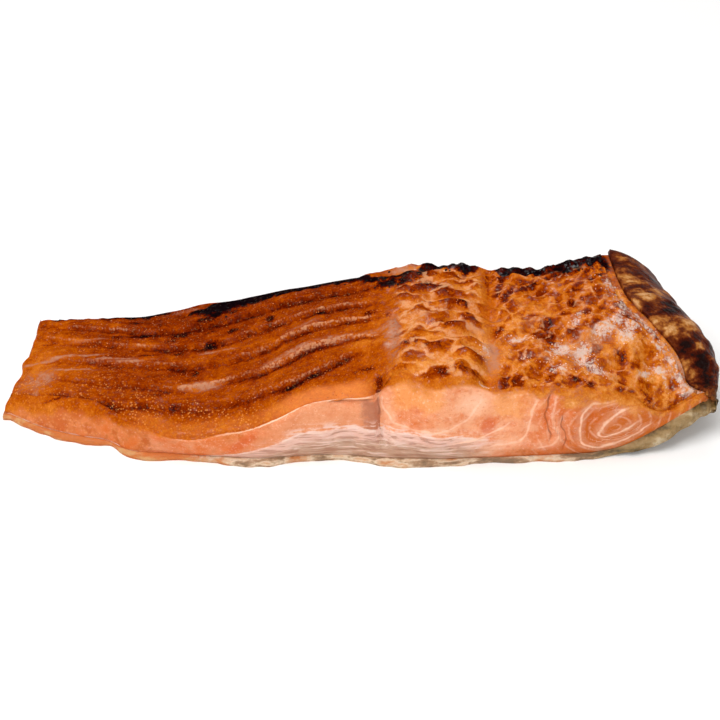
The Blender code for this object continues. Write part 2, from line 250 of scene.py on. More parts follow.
@dataclass(frozen=True)
class FlakeFront:
    """The line where one flake's steep front rises, seen from above.

    Args:
        points: (x, y) along the line.
        reach: the lowest and highest X where it shows.
        pale: (x, strength) of the whitish membrane on the front.
        shade: (x, strength) of the painted shade in the hollow before it.
        step: height of the front.
        run: how far behind the front the flake slopes down again.
        scallop: how far the line swings to and fro.
        fray: how far its fine raggedness goes.
        field: picks the noise that bends it.
    """

    points: Line
    reach: tuple[float, float]
    pale: Line
    shade: Line
    step: float = 1.3
    run: float = 7.5
    scallop: float = 0.3
    fray: float = 0.12
    field: float = 0.0

    def behind(self, x: Array, y: Array) -> Array:
        """Measure from the front.

        Args:
            x: places along X.
            y: places along Y.

        Returns:
            The distance behind the front at each place, negative before it.
        """
        bend = lumps(x, 0 * x, 0 * x, 5.0, 50.0 + self.field)
        ragged = lumps(x, 0 * x, 0 * x, 1.6, 70.0 + self.field)
        return y - smooth_line(self.points, x) - self.scallop * bend - self.fray * ragged

    def shown(self, x: Array) -> Array:
        """How much of the front there is at each X, from 0 to 1."""
        low, high = self.reach
        return within(x, low - 1.5, low + 1.5, high - 2.5, high + 2.5)


@dataclass(frozen=True)
class PortionForm:
    """The portion's form, the same as that of its solids."""

    skin_thick: float = 1.1
    flesh_inset: float = 1.12
    far_y: float = 22.6
    length: float = 160
    width: float = 44
    near_foot_y: Line = (
        (-84, -6.5), (-76, -11), (-66, -14.4), (-59, -16.2), (-55, -18.8), (-45, -20.2), (-33, -21.4),
        (-22, -22.0), (-14, -21.2), (-4, -20.8), (5, -21.8), (16, -22.2), (30, -21.8), (45, -20.8),
        (56, -20), (61, -19.3), (65.5, -18.5), (70, -17.3), (74.5, -15.6), (80, -12.5))
    near_foot_lift: Line = ((54, 0), (61, 1.0), (65.5, 2.8), (70, 4.9), (74.5, 6.8), (80, 8.4))
    lift_depth: float = 0.5
    near_crest_y: Line = (
        (-84, -3.5), (-80, -5), (-73, -8), (-60, -12), (-55, -16), (-49, -20), (-44, -21.4), (-31, -22),
        (-21, -22), (-11, -21), (-3, -20.5), (4, -20.8), (9, -18.5), (15, -21.5), (25, -21.5), (34, -21),
        (45, -20.5), (52, -20), (59, -18.8), (64, -17.8), (70, -16.8), (76, -14.6), (80, -12.5))
    near_crest_z: Line = (
        (-84, 4.5), (-80, 5.6), (-73, 8.6), (-66, 9.2), (-60, 9), (-55, 8.8), (-49, 9), (-44, 7.8),
        (-31, 9.2), (-26, 10.4), (-21, 12.8), (-16, 15.6), (-11, 17.7), (-4, 18.2), (4, 20.8), (9, 24.6),
        (15, 25.2), (25, 25.2), (28, 22.8), (34, 22), (45, 22), (52, 20.8), (59, 18.6), (64, 15.8),
        (67, 13), (70, 11.2), (73, 11.2), (76.5, 12.6), (80, 13.9))
    far_crest_z: Line = (
        (-84, 7), (-70, 7.8), (-60, 8.6), (-52, 9.2), (-45, 11), (-40, 12.6), (-30, 14.6),
        (-20, 17), (-10, 19.2), (0, 21.4), (6, 23), (10, 23.8), (24, 24.4), (29, 24),
        (32, 23.4), (36, 23.8), (44, 23.8), (49, 25.2), (54, 27.2), (57, 28.4))
    crown_z: Line = ((-84, 0.3), (-60, 0.8), (-20, 1.0), (20, 1.5), (60, 1.2))
    belly_end_x: Line = ((0, -84), (0.3, -82), (0.65, -80.8), (1, -79.8))
    belly_foot_lean: float = 0.6
    rim_x: Line = (
        (0, 78.6), (0.08, 76.2), (0.15, 75), (0.3, 72.6), (0.45, 66.8), (0.6, 62), (0.8, 59.5), (1, 58))
    rim_y: Line = (
        (0, -12.5), (0.08, -12), (0.15, -10.6), (0.3, -6), (0.45, -0.5), (0.6, 5), (0.8, 13), (1, 22.6))
    rim_z: Line = (
        (0, 13.9), (0.08, 14.6), (0.15, 15.8), (0.3, 20), (0.45, 24), (0.6, 26), (0.8, 26.8), (1, 28.2))
    nose_reach: Line = (
        (0, 5), (0.08, 7.2), (0.15, 9.2), (0.3, 12.6), (0.45, 17.6), (0.6, 20.4), (0.8, 20), (1, 18.6))
    nose_heading: Line = ((0, 20), (0.15, 14), (0.3, 12), (0.45, 12), (0.6, 12), (0.8, 8), (1, 0))
    nose_middle_z: Line = ((0, 11.1), (0.3, 11.3), (1, 11))
    nose_shoulder: Line = ((0, 1), (0.5, 1), (1, 1.5))
    nose_tuck: float = 0.6
    nose_equator: float = 0.4
    nose_row_gather: float = 1.25
    dorsal_blend_start: float = 0.8
    on_side: float = 0.001

    def ruled_top(self, x: Array, v: Array) -> tuple[Array, Array]:
        """The top, ruled from crest to crest with a crown between.

        Args:
            x: places along X.
            v: places along v.

        Returns:
            Its Y and Z at each place.
        """
        y = smooth_line(self.near_crest_y, x) * (1 - v) + self.far_y * v
        z = smooth_line(self.near_crest_z, x) * (1 - v) + smooth_line(self.far_crest_z, x) * v
        return y, z + smooth_line(self.crown_z, x) * 4 * v * (1 - v)

    def top_point(self, u: Array, v: Array) -> Places:
        """A point of the roasted top, before its relief.

        Args:
            u: place along u.
            v: place along v.

        Returns:
            The point's X, Y and Z.
        """
        rim_x = smooth_line(self.rim_x, v)
        x = smooth_line(self.belly_end_x, v) * (1 - u) + rim_x * u
        y, z = self.ruled_top(x, v)
        end_y, end_z = self.ruled_top(rim_x, v)
        dorsal = ease(u, self.dorsal_blend_start, 1)
        y = y + (smooth_line(self.rim_y, v) - end_y) * dorsal
        z = z + (smooth_line(self.rim_z, v) - end_z) * dorsal
        return x, y, z

    def foot_lift(self, x: Array, v: Array) -> Array:
        """How far the underside is off the table, near the dorsal end of the near cut."""
        return smooth_line(self.near_foot_lift, x) * (1 - ease(v, 0, self.lift_depth))

    def nose_point(self, v: Array, w: Array, inset: Array) -> Places:
        """A point of the round dorsal end.

        Args:
            v: place along v.
            w: place from the foot (0) up to the rim (1).
            inset: how far the surface lies below the outside of the skin.

        Returns:
            The point's X, Y and Z.
        """
        reach = smooth_line(self.nose_reach, v) - inset
        middle = smooth_line(self.nose_middle_z, v)
        rise = smooth_line(self.rim_z, v) - middle - inset
        heading = np.radians(smooth_line(self.nose_heading, v))
        foot_x = smooth_line(self.rim_x, v) + reach * self.nose_tuck * np.cos(heading)
        drop = middle - inset - self.foot_lift(foot_x, v)
        gathered = np.clip(1 - w, 0, 1) ** self.nose_row_gather
        turn = (1 - self.nose_equator) ** self.nose_row_gather
        upper = np.clip(gathered / turn, 0, 1) * math.pi / 2
        lower = np.clip((gathered - turn) / (1 - turn), 0, 1) * math.pi / 2
        above = gathered <= turn
        tucked = self.nose_tuck + (1 - self.nose_tuck) * np.cos(lower)
        out = reach * np.where(above, np.sin(upper), tucked)
        shoulder = np.clip(np.cos(upper), 0, 1) ** smooth_line(self.nose_shoulder, v)
        z = middle + np.where(above, rise * shoulder, -drop * np.sin(lower))
        x = smooth_line(self.rim_x, v) + out * np.cos(heading)
        y = smooth_line(self.rim_y, v) + out * np.sin(heading)
        return x, y, z

    def base_point(self, u: Array, v: Array, inset: float) -> Places:
        """A point of the underside.

        Args:
            u: place along u.
            v: place along v.
            inset: how far the surface lies above the outside of the skin.

        Returns:
            The point's X, Y and Z.
        """
        end_x, end_y, _ = self.nose_point(v, np.zeros_like(v), inset)
        x = (smooth_line(self.belly_end_x, v) - self.belly_foot_lean) * (1 - u) + end_x * u
        y = smooth_line(self.near_foot_y, x) * (1 - v) + self.far_y * v
        ruled_end = smooth_line(self.near_foot_y, end_x) * (1 - v) + self.far_y * v
        y = y + (end_y - ruled_end) * ease(u, self.dorsal_blend_start, 1)
        return x, y, inset + self.foot_lift(x, v)

    def flesh_body(self, u: Array, v: Array, w: Array) -> tuple[list[Array], Array]:
        """The flesh's surface before its relief.

        Args:
            u: places along u.
            v: places along v.
            w: places along w.

        Returns:
            X, Y and Z of each place, and how high the flesh is there.
        """
        top = self.top_point(u, v)
        foot = self.base_point(u, v, self.flesh_inset)
        at_end = np.ones_like(u)
        end_top = self.top_point(at_end, v)
        end_foot = self.base_point(at_end, v, self.flesh_inset)
        nose = self.nose_point(v, w, self.flesh_inset * (w < 1 - self.on_side))
        near_end = ease(u, self.dorsal_blend_start, 1) ** 2
        body = []
        for low, high, end_low, end_high, round_end in zip(foot, top, end_foot, end_top, nose):
            ruled_end = end_low + (end_high - end_low) * w
            body.append(low + (high - low) * w + (round_end - ruled_end) * near_end)
        return body, top[2] - foot[2]


def belly_fronts() -> tuple[FlakeFront, ...]:
    """The long shingled flakes of the thin belly.

    Returns:
        Their fronts, from the near cut to the far one.
    """
    return (
        FlakeFront(
            ((-84, -3.7), (-76, -6.6), (-66, -9.2), (-57, -12), (-45, -13), (-33, -13.4), (-22, -12.7),
             (-14, -12.7), (-7, -10), (-3, -7.4), (6, -6)), (-86, -1),
            ((-84, 0.1), (-62, 0.15), (-50, 0.0), (-32, 0.0), (-24, 0.45), (-4, 0.55)),
            ((-84, 0.6), (-60, 0.9), (-45, 0.4), (-28, 0.5), (-18, 1), (-2, 1)), field=0.0),
        FlakeFront(
            ((-84, 2.4), (-64, -4.3), (-56, -5.3), (-46, -7.5), (-36, -7.5), (-28, -6.1), (-21, -6),
             (-16, -4.8), (-8, -2.2), (-1, -1.8), (6, -4)), (-86, 5),
            ((-84, 0.3), (-62, 0.35), (-48, 0.4), (-42, 0.85), (-35, 0.9), (-28, 0.5), (-20, 0.9),
             (4, 1)),
            ((-84, 0.3), (-46, 0.5), (-30, 0.6), (-20, 1), (0, 0.9)), field=3.0),
        FlakeFront(
            ((-84, 10), (-73, 4.5), (-64, 2.9), (-48, 0.8), (-38, -0.4), (-30, -0.3), (-23, 0.9),
             (-14, 3.4), (-5, 4.6), (6, 3)), (-86, 4),
            ((-84, 0.35), (-60, 0.5), (-46, 0.5), (-34, 0.3), (-22, 0.65), (2, 0.85)),
            ((-84, 0.2), (-46, 0.5), (-24, 0.7), (0, 0.8)), field=6.0),
        FlakeFront(
            ((-84, 17), (-71, 11.8), (-55, 8.5), (-41, 6.2), (-33, 6.2), (-25, 8.3), (-16, 8.8), (-6, 10),
             (6, 9)), (-86, 4),
            ((-84, 0.3), (-70, 0.55), (-62, 0.4), (-54, 0.65), (-44, 0.3), (-22, 0.5), (2, 0.6)),
            ((-84, 0.2), (-46, 0.6), (-24, 0.6), (0, 0.6)), field=9.0),
        FlakeFront(
            ((-84, 21), (-72, 18), (-58, 15), (-46, 13), (-34, 13.4), (-20, 15.5), (-6, 16), (6, 15)),
            (-86, 4),
            ((-84, 0.2), (-61, 0.5), (-50, 0.3), (2, 0.35)),
            ((-84, 0.3), (-46, 0.6), (0, 0.6)), field=12.0),
    )


@dataclass(frozen=True)
class Tiles:
    """Small muscle tiles on the top of one thick block.

    Args:
        reach: the X where they fade in, from none to all, and the X where they fade out.
        turn: degrees that their rows are turned from X towards Y.
        length: length of a tile along its row.
        width: width of a tile across its row.
        dome: height of a tile's middle over its edge, negative for a hollow.
        warp: how far the rows bend.
        back_shade: how much browner and darker a tile's back is than its front, as painted shade.
        edge_share: how clear the pale lines between the tiles are.
        seed: picks the tiles.
    """

    reach: Span
    turn: float
    length: float
    width: float
    dome: float
    warp: float
    back_shade: float
    edge_share: float
    seed: int

    def at(self, x: Array, y: Array) -> Masks:
        """Read the tiles.

        Args:
            x: places along X.
            y: places along Y.

        Returns:
            How much there is of them at each place, and their middles, edges, chances, and the painted
            shade on their backs.
        """
        turn = math.radians(self.turn)
        bend = lumps(x, y, 0 * x, 7.0, 91.0 + self.seed)
        sway = lumps(x, y, 0 * x, 2.2, 95.0 + self.seed)
        shiver = lumps(x, y, 0 * x, 1.1, 98.0 + self.seed)
        along = x * math.cos(turn) + y * math.sin(turn) + self.warp * (0.7 * sway - 0.25 * shiver)
        across = y * math.cos(turn) - x * math.sin(turn)
        across = across + self.warp * (bend + 0.3 * sway + 0.25 * shiver)
        first, second, chance, beyond = cells(along, across, self.length, self.width, self.seed)
        edge = 1 - ease(second - first, 0.02, 0.42)
        shown = within(x, *self.reach)
        # The backs get painted shade: each tile darker towards its back.
        return {"shown": shown, "middle": (1 - ease(first, 0.05, 0.75)) * shown,
                "edge": edge * shown * self.edge_share, "chance": chance * shown,
                "back": np.clip(beyond * 1.6, -1, 1) * (1 - edge) * shown * self.back_shade}


def roast_spots() -> dict[Mark, tuple[Oval, ...]]:
    """Listed spots on the roasted top.

    Returns:
        The ovals of each mark, with X, Y, half length, half width, strength and turn.
    """
    placed = {
        Mark.PALE: (
            (36.5, 0.5, 3.2, 4.2, 0.6), (61, -6.5, 6, 3, 0.3), (28.6, 14.5, 1, 6, 0.6),
            (-69.8, 11.4, 3, 0.9, 0.5), (-60, 16.6, 1.6, 0.8, 0.5), (-53.4, 8.4, 3.6, 0.9, 0.5),
            (-37.7, -8, 4.2, 1.3, 0.6), (-78, 5, 7, 5, 0.3), (20, -17.5, 9.5, 3.4, 0.4),
            (26.5, -8, 3, 4, 0.5), (1, -4.4, 4.4, 2.2, 0.5), (-41, 1.4, 5, 1.8, 0.26),
            (22, 5, 3, 1.6, 0.3), (27.6, -20.6, 1.6, 1.2, 0.9), (67.7, -11.2, 3.6, 1.1, 0.9, 25),
            (28.6, -7.7, 1.8, 4.2, 0.9), (15.5, -8, 1.4, 2, 0.5)),
        Mark.CURD: (
            (65.6, -11.8, 2.8, 0.7, 0.8, 40), (69, -9.9, 2, 0.7, 0.9), (70.9, -11.6, 1.8, 0.6, 0.8, -60),
            (69.2, -5.4, 2.6, 0.8, 0.7, -25), (74.6, -10.8, 0.7, 2.2, 0.8),
            (72.6, -7.8, 2.8, 0.7, 0.8, -42), (28.8, -9.4, 1.6, 3.6, 0.5), (62.2, 12.2, 1.3, 2.8, 0.5),
            (28.2, -20.8, 1.5, 0.9, 0.8), (60.6, -6, 1.6, 1.8, 0.75), (46.4, -9.4, 4, 2.4, 0.85, 40),
            (51.2, -11.5, 2.6, 3.8, 0.9), (57.9, -3.4, 4.8, 2, 0.9, 40), (63.4, -2.6, 2.8, 1.8, 0.8),
            (44.4, -15.6, 3.6, 1.8, 0.6), (53.5, -14.6, 3.6, 1.6, 0.7), (36.2, -6, 3.4, 1.4, 0.65),
            (60.8, 1.2, 3.4, 1.4, 0.6, 45), (50, -1.5, 3.6, 1.2, 0.6, 45), (62.2, -5, 2, 2.4, 0.8),
            (38.5, -12.5, 2.6, 1.6, 0.5)),
        Mark.DARK: (
            (15.3, 5, 2.8, 0.9, 0.6), (24.4, 4, 2, 1.2, 0.9), (23, 8.5, 2.2, 0.8, 0.3),
            (11.7, -9.3, 2.4, 1, 0.85), (19, -3.2, 5, 0.9, 0.7), (20.2, -20.5, 4, 1.2, 0.5),
            (1.5, -13.4, 3, 1.2, 0.6), (40.1, 14.3, 2.2, 0.9, 0.6), (44.8, -7.5, 2.2, 1.2, 0.5),
            (53.8, -10.6, 1.8, 1.1, 0.8), (52, 6, 2, 1, 0.5), (58.7, 2.7, 1.6, 1, 0.5),
            (32.7, -2.5, 2.6, 1.2, 0.6), (43.2, -1, 1.7, 1.6, 1), (72.2, -12.2, 1.2, 0.8, 0.5),
            (17.2, 12.8, 5.4, 1.5, 1, -25), (9.8, 14, 2.4, 2.6, 1), (-59.8, 12.3, 2.8, 0.9, 0.6),
            (-53, 12.3, 4.4, 1.1, 0.9), (-43.5, 10.8, 3.4, 1.5, 0.8), (-51, 4.4, 3.4, 0.7, 0.65),
            (-43.8, 4.2, 2.4, 0.8, 0.6), (-39.3, -2.8, 1.2, 1.4, 0.7), (-36, 5.4, 2.2, 1.5, 0.8, 25),
            (-30.9, 9.4, 2, 1.4, 0.8), (-21.7, 10.4, 1, 2.6, 0.9), (-9.6, 8.8, 1.7, 0.9, 0.75),
            (-12.5, 14, 1.6, 0.8, 0.6), (-6, 14.6, 1.6, 0.8, 0.6), (2.4, 5.2, 1.8, 1.2, 0.7),
            (6.8, 2.6, 1.4, 1, 0.6), (-36.8, 10.2, 1.6, 0.8, 0.6), (-26.5, 13.6, 1.2, 1, 0.5),
            (-43.8, -13.2, 2.6, 0.7, 0.5), (-58.7, -10.8, 1.6, 0.8, 0.6), (-16.2, -14.2, 1.8, 0.7, 0.8),
            (-11, -12.4, 1.2, 0.6, 0.7), (-37.2, 14.4, 3, 1.4, 0.9), (-76, 15.8, 4, 0.8, 0.3),
            (-32, 16, 4, 1.2, 0.6), (-55, 18, 3, 0.8, 0.5), (10, 8.6, 3.8, 1.1, 0.55, 12),
            (17.5, 12, 4.6, 0.9, 0.55), (12, 13.5, 3.4, 1, 0.5), (20, 6.5, 3.6, 1.1, 0.2),
            # The spot at (4.3, -18) is painted shade in the slit of the crack.
            (14.5, -2.4, 3, 1, 0.35), (23.5, -1.5, 3.4, 1, 0.35), (4.3, -18, 0.9, 3.2, 1),
            (14.5, 17.2, 3, 1, 0.8), (19.5, 17, 3, 0.8, 0.7), (30.6, 14, 0.7, 6.5, 0.6),
            (22.5, -19.6, 5, 1.6, 0.6), (17, -11.5, 5, 1.3, 0.45), (-46, 8.8, 2, 0.5, 0.5),
            (-77, 11.8, 2.4, 0.5, 0.5), (-63, 10.8, 1, 1, 0.4), (-41, -8.6, 2.4, 0.5, 0.4),
            (-35, -10.6, 1.6, 0.6, 0.5), (-47.5, -9.8, 3.4, 0.6, 0.4), (-72, -8.6, 5, 0.5, 0.5),
            (-65, 20.6, 4, 0.8, 0.5), (50.3, 5.1, 1.3, 1.6, 0.8, 50), (43.4, -1.6, 1.2, 1.2, 0.8),
            (46.6, -5.6, 1.6, 0.6, 0.7, 20), (42.8, -9.4, 1.2, 1.8, 0.7), (60, -9.9, 2.2, 1.5, 0.75),
            (55.2, -9.7, 1.2, 1.4, 0.5), (41.6, 14.6, 1.4, 0.9, 0.7), (50.6, -18.2, 3.4, 0.6, 0.9, -16),
            (66.5, -16.2, 2.4, 1.2, 0.6), (71.6, -14.6, 1.4, 2, 0.55), (43, -17.4, 1.6, 1, 0.55),
            (62.5, 9.5, 2.4, 3.2, 0.35), (57, 18, 5, 3.4, 0.6), (47.5, 10, 2.4, 1, 0.5, 40),
            (8.2, -4, 1.3, 8, 0.5)),
        Mark.FILM: (
            (64, 8.5, 1.6, 4, 0.6, 20), (7.6, -5, 2.2, 8.5, 0.9), (30.3, -11.5, 2.2, 6.5, 1),
            (4.5, -1.5, 6, 1.2, 0.7), (14, -1, 4, 1, 0.6), (-16, -3.5, 8, 1.3, 0.8, 16),
            (-37.5, -7.6, 6, 1.5, 0.8), (-5, -1.5, 5, 1.4, 0.7), (-13.5, 5, 6, 1.2, 0.5, 18),
            (-55, 2.6, 7, 0.7, 0.8), (-77, -1.5, 6, 3.8, 0.7), (-72, 5.2, 11, 0.7, 0.9),
            (-60, 3.6, 7, 0.5, 0.8), (-69, 0.2, 6, 0.5, 0.8), (-34, 3.4, 6, 0.6, 0.8, 4),
            (-79, -5.4, 6, 0.6, 0.7), (-66, 11.4, 5, 0.7, 0.7), (40, 0, 7, 4, 0.4, 40),
            (60, 6, 8, 3.4, 0.35, 40), (52, 2, 9, 3, 0.35, 55), (43, -12, 5, 3, 0.5),
            (10.5, 20.6, 5, 1.5, 0.8), (-43, 20.4, 6, 1.4, 0.5), (52, -8.5, 12, 6, 0.6, 30),
            (26, -4, 5, 1.2, 0.5), (33, 1, 4, 1, 0.5, 20), (46, 8, 5, 1.2, 0.4, 50)),
        Mark.CHAR: (
            (6.4, 14.9, 2.8, 2.4, 1), (-35.2, 16.2, 2.4, 2.2, 0.8), (9.8, 14.3, 1.9, 2.2, 0.55),
            (57, 15.5, 4, 2.4, 0.6)),
        Mark.PIT: (
            (4.3, -18.2, 0.9, 2.8, 1), (60, -9.9, 1.5, 1, 0.7), (43.4, -1.6, 1, 0.9, 0.6),
            (50.3, 5.1, 0.9, 0.9, 0.5), (72.8, -11.9, 1.5, 1.1, 1)),
    }
    return {mark: tuple(Oval(*numbers) for numbers in ovals) for mark, ovals in placed.items()}


@dataclass(frozen=True)
class RoastedTop:
    """Relief and roasting of the top."""

    fronts: tuple[FlakeFront, ...] = field(default_factory=belly_fronts)
    spots: dict[Mark, tuple[Oval, ...]] = field(default_factory=roast_spots)
    tiles: tuple[Tiles, ...] = (
        Tiles((5, 11, 27, 31), 2, 9.6, 4.6, 0.8, 1.5, 1.1, 1, 5),
        Tiles((29, 33, 90, 99), 50, 5, 3.6, -0.45, 1.8, 0.5, 0.72, 12))
    front_width: float = 0.9
    membrane_width: float = 0.5
    membrane_behind: float = 0.25
    # Width and place of the painted shade in the hollow before each flake front.
    crevice_width: float = 0.7
    crevice_before: float = 0.9
    flake_sink: float = 0.65
    flake_fade_x: Range = (-6, 4)
    step_share: Line = ((-84, 0.6), (-62, 0.6), (-44, 0.85), (-30, 1), (6, 1))
    clefts: tuple[Line, ...] = (
        ((-22, 4.5), (-15, 5.4), (-9, 7.6), (1, 8), (12, 6)),
        ((-21, 28.4), (-15, 29.6), (-7, 30.5), (4, 30.7), (14, 31), (22.6, 31.2)))
    cleft_depth: tuple[float, ...] = (0.7, 0.9)
    cleft_half_width: float = 2.0
    cleft_end_fade: float = 2
    tile_rise: float = 0.75
    tile_size: float = 5.2
    tile_x: Range = (-4, 12)
    tile_gap: float = 0.4
    swell_rise: float = 0.25
    swell_size: float = 3.1
    pocks: Rows = (
        (57.5, 3.5, 2.4, 1.5), (52, 17, 2.2, 1.2), (46.5, -9, 2, 1), (41, 11, 2, 0.9),
        (58, -13, 3, 1.2), (66, -9.5, 2.4, 1.1), (40.5, 20, 2, 1.1), (24, 15, 2.2, 0.8))
    level: Line = (
        (-84, 0.52), (-72, 0.57), (-58, 0.63), (-40, 0.64), (-20, 0.62), (0, 0.60), (8, 0.535),
        (18, 0.525), (27, 0.485), (34, 0.505), (60, 0.51), (76, 0.48))
    far_level: float = 0.045
    far_level_y: Range = (0, 18)
    front_level: float = -0.05
    front_level_x: Range = (42, 52)
    front_level_y: Range = (-8, 0)
    char_start: Line = (
        (-84, -1), (-49, -1), (-45, 3), (-40, 2.8), (-35, 1.2), (-31, -1), (-1, -1), (1, 1.5), (3, 3.4),
        (7, 4.4), (11, 4.6), (14, 3), (17, -1), (62, -1))
    char_depth: Line = (
        (-84, 0.6), (-74, 1.8), (-64, 1.2), (-54, 2.6), (-48, 1.8), (-42, 5.4), (-37, 7.6), (-32, 6),
        (-26, 4.8), (-16, 4.2), (-6, 3.8), (1, 6), (5, 9), (9, 8.6), (14, 6), (19, 4.4), (25, 4.4),
        (29.5, 3.6), (31, 1), (33, 3.6), (40, 5.4), (48, 5.2), (54, 5.4), (58, 6.6), (64, 7.2))
    char_share: Line = (
        (-84, 0.25), (-77, 0.35), (-72, 0.75), (-64, 0.55), (-56, 0.8), (-48, 0.5), (-44, 0.6), (-38, 1),
        (-20, 1), (-8, 0.8), (2, 0.95), (8, 0.9), (13, 0.7), (18, 1), (29, 1), (30.6, 0.2), (32.4, 0.4),
        (34, 1), (46, 1), (56, 0.95), (64, 0.9))
    char_core: float = 0.4
    char_reach: float = 1.1
    char_blur: float = 0.8
    char_patchy: float = 0.25
    char_lift: float = 0.85
    knob_rise: float = 0.07
    knobbly_rise: float = 0.13
    knob_size: float = 1.4
    knobbly_x: Range = (28, 36)
    crag_rise: float = 0.35
    crag_size: float = 1.7
    sparkly_x: Range = (-16, -28)
    sparkly_reach: Range = (9, 15)
    stray_sparks: float = 0.16
    stray_x: Range = (0, 20)
    wet_x: Range = (0, 10)
    # Where the belly's near edge is painted lighter and with a glow.
    edge_band_x: Span = (-58, -50, -2, 6)
    edge_band_reach: Range = (3, 7)
    edge_band_level: float = -0.12
    edge_glow_x: Range = (-26, -8)

    def amount(self, mark: Mark, x: Array, y: Array) -> Array:
        """Read the spots of one kind.

        Args:
            mark: their kind.
            x: places along X.
            y: places along Y.

        Returns:
            The strength of the strongest at each place.
        """
        found = np.zeros_like(x)
        for oval in self.spots[mark]:
            found = np.maximum(found, oval.at(x, y))
        return found

    def flakes(self, x: Array, y: Array) -> Places:
        """The shingled flakes of the belly.

        Args:
            x: places along X.
            y: places along Y.

        Returns:
            Their height, and the masks of their membranes and of the painted shade in the crevices before
            them.
        """
        height, membrane, crevice = (np.zeros_like(x) for _ in range(3))
        half = self.front_width / 2
        for front in self.fronts:
            behind, shown = front.behind(x, y), front.shown(x)
            height += front.step * ease(behind, -half, half) * (1 - ease(behind, 0, front.run))
            pale = peak(behind - self.membrane_behind, self.membrane_width) * shown
            membrane = np.maximum(membrane, smooth_line(front.pale, x) * pale)
            dark = peak(behind + self.crevice_before, self.crevice_width) * shown
            crevice = np.maximum(crevice, smooth_line(front.shade, x) * dark)
        height = (height - self.flake_sink) * (1 - ease(x, *self.flake_fade_x))
        return height * smooth_line(self.step_share, x), membrane, crevice

    def relief(self, x: Array, y: Array) -> Masks:
        """Height of the top's relief, and the masks that go with it.

        Args:
            x: places along X.
            y: places along Y.

        Returns:
            The relief's height, and the masks of membranes, of the painted shade in the crevices before
            the flakes, and of tiles.
        """
        height, membrane, crevice = self.flakes(x, y)
        for line, depth in zip(self.clefts, self.cleft_depth):
            start, run = line[0][0], line[-1][0] - line[0][0]
            fade = self.cleft_end_fade
            reach = 1 - ease(np.abs(y - start), run - fade, run + fade)
            height -= depth * peak(x - smooth_line(line, y), self.cleft_half_width) * reach
        rows = lumps(x * 0.7 - y * 0.3, y * 1.2, 0 * x, self.tile_size, 3.0)
        height += self.tile_rise * (1 - np.abs(rows) * 2) * ease(x, *self.tile_x)
        height += self.swell_rise * lumps(x, y, 0 * x, self.swell_size, 8.0)
        for pock_x, pock_y, radius, depth in self.pocks:
            height -= depth * np.exp(-((x - pock_x) ** 2 + (y - pock_y) ** 2) / radius**2)
        sums = {name: np.zeros_like(x) for name in ("middle", "edge", "chance", "back")}
        for tiles in self.tiles:
            at = tiles.at(x, y)
            height += tiles.dome * (at["middle"] - self.tile_gap * at["shown"])
            sums = {name: so_far + at[name] for name, so_far in sums.items()}
        knobs = self.knob_rise + self.knobbly_rise * ease(x, *self.knobbly_x)
        height += knobs * lumps(x, y, 0 * x, self.knob_size, 17.0) - self.amount(Mark.PIT, x, y)
        height += self.crag_rise * self.charred(x, y) * lumps(x, y, 0 * x, self.crag_size, 55.0)
        return {"height": height, "membrane": membrane, "crevice": crevice,
                "tile": sums["middle"], "tile_edge": sums["edge"],
                "tile_chance": sums["chance"], "tile_back": sums["back"]}

    def charred(self, x: Array, y: Array) -> Array:
        """The char along the back edge and in its spots.

        Args:
            x: places along X.
            y: places along Y.

        Returns:
            How charred the top is at each place, from 0 to 1.
        """
        wander = lumps(x, y, 0 * x, 6.5, 33.0) + lumps(x, y, 0 * x, 2.0, 37.0)
        from_back = PortionForm().far_y - y
        depth = smooth_line(self.char_depth, x)
        char = 1 - ease(from_back + wander, depth * self.char_core,
                        depth * self.char_reach + self.char_blur)
        start = smooth_line(self.char_start, x)
        char = char * ease(from_back + 0.6 * wander, start - 1.2, start + 0.4)
        patchy = self.char_patchy * lumps(x, y, 0 * x, 4.0, 39.0)
        char = char * (smooth_line(self.char_share, x) + patchy)
        char = np.maximum(char, self.amount(Mark.CHAR, x, y))
        return np.clip(char, 0, 1)

    def roasting(self, x: Array, y: Array) -> Masks:
        """The roast of the top.

        Args:
            x: places along X.
            y: places along Y.

        Returns:
            How roasted, charred, dark, pale, curdled and filmed each place is, by name.
        """
        level = smooth_line(self.level, x) + self.far_level * ease(y, *self.far_level_y)
        front = ease(x, *self.front_level_x) * (1 - ease(y, *self.front_level_y))
        spots = {mark.value: self.amount(mark, x, y)
                 for mark in (Mark.DARK, Mark.PALE, Mark.CURD, Mark.FILM)}
        return spots | {"level": level + self.front_level * front, "char": self.charred(x, y)}

    def shine(self, x: Array, from_near: Array, on_top: Array, dark: Array) -> Masks:
        """Where the portion glistens.

        Args:
            x: places along X.
            from_near: how far they lie from the near cut.
            on_top: whether they are on the top.
            dark: how dark the roast is there.

        Returns:
            The masks of the sparks, painted as glints and raised as fine bubbles, and of the wet coat, by
            name.
        """
        sparkly = ease(x, *self.sparkly_x) * (1 - ease(from_near, *self.sparkly_reach))
        stray = self.stray_sparks * on_top * (1 - ease(x, *self.stray_x))
        sparkly = np.maximum(sparkly * (0.5 + 0.5 * on_top), stray)
        wetness = np.maximum(0.3 * sparkly, ease(x, *self.wet_x)) * (1 - 0.8 * dark)
        return {"sparkly": sparkly, "wetness": wetness}

    def edge_band(self, x: Array, from_near: Array) -> Array:
        """How much each place belongs to the smooth strip along the belly's near edge, painted lighter
        and with a glow.
        """
        return within(x, *self.edge_band_x) * (1 - ease(from_near, *self.edge_band_reach))


@dataclass(frozen=True)
class FaceLine:
    """A thin line on a cut face.

    Args:
        points: (x, z) along it.
        strength: how strong it is, from 0 to 1.
    """

    points: Line
    strength: float = 1.0


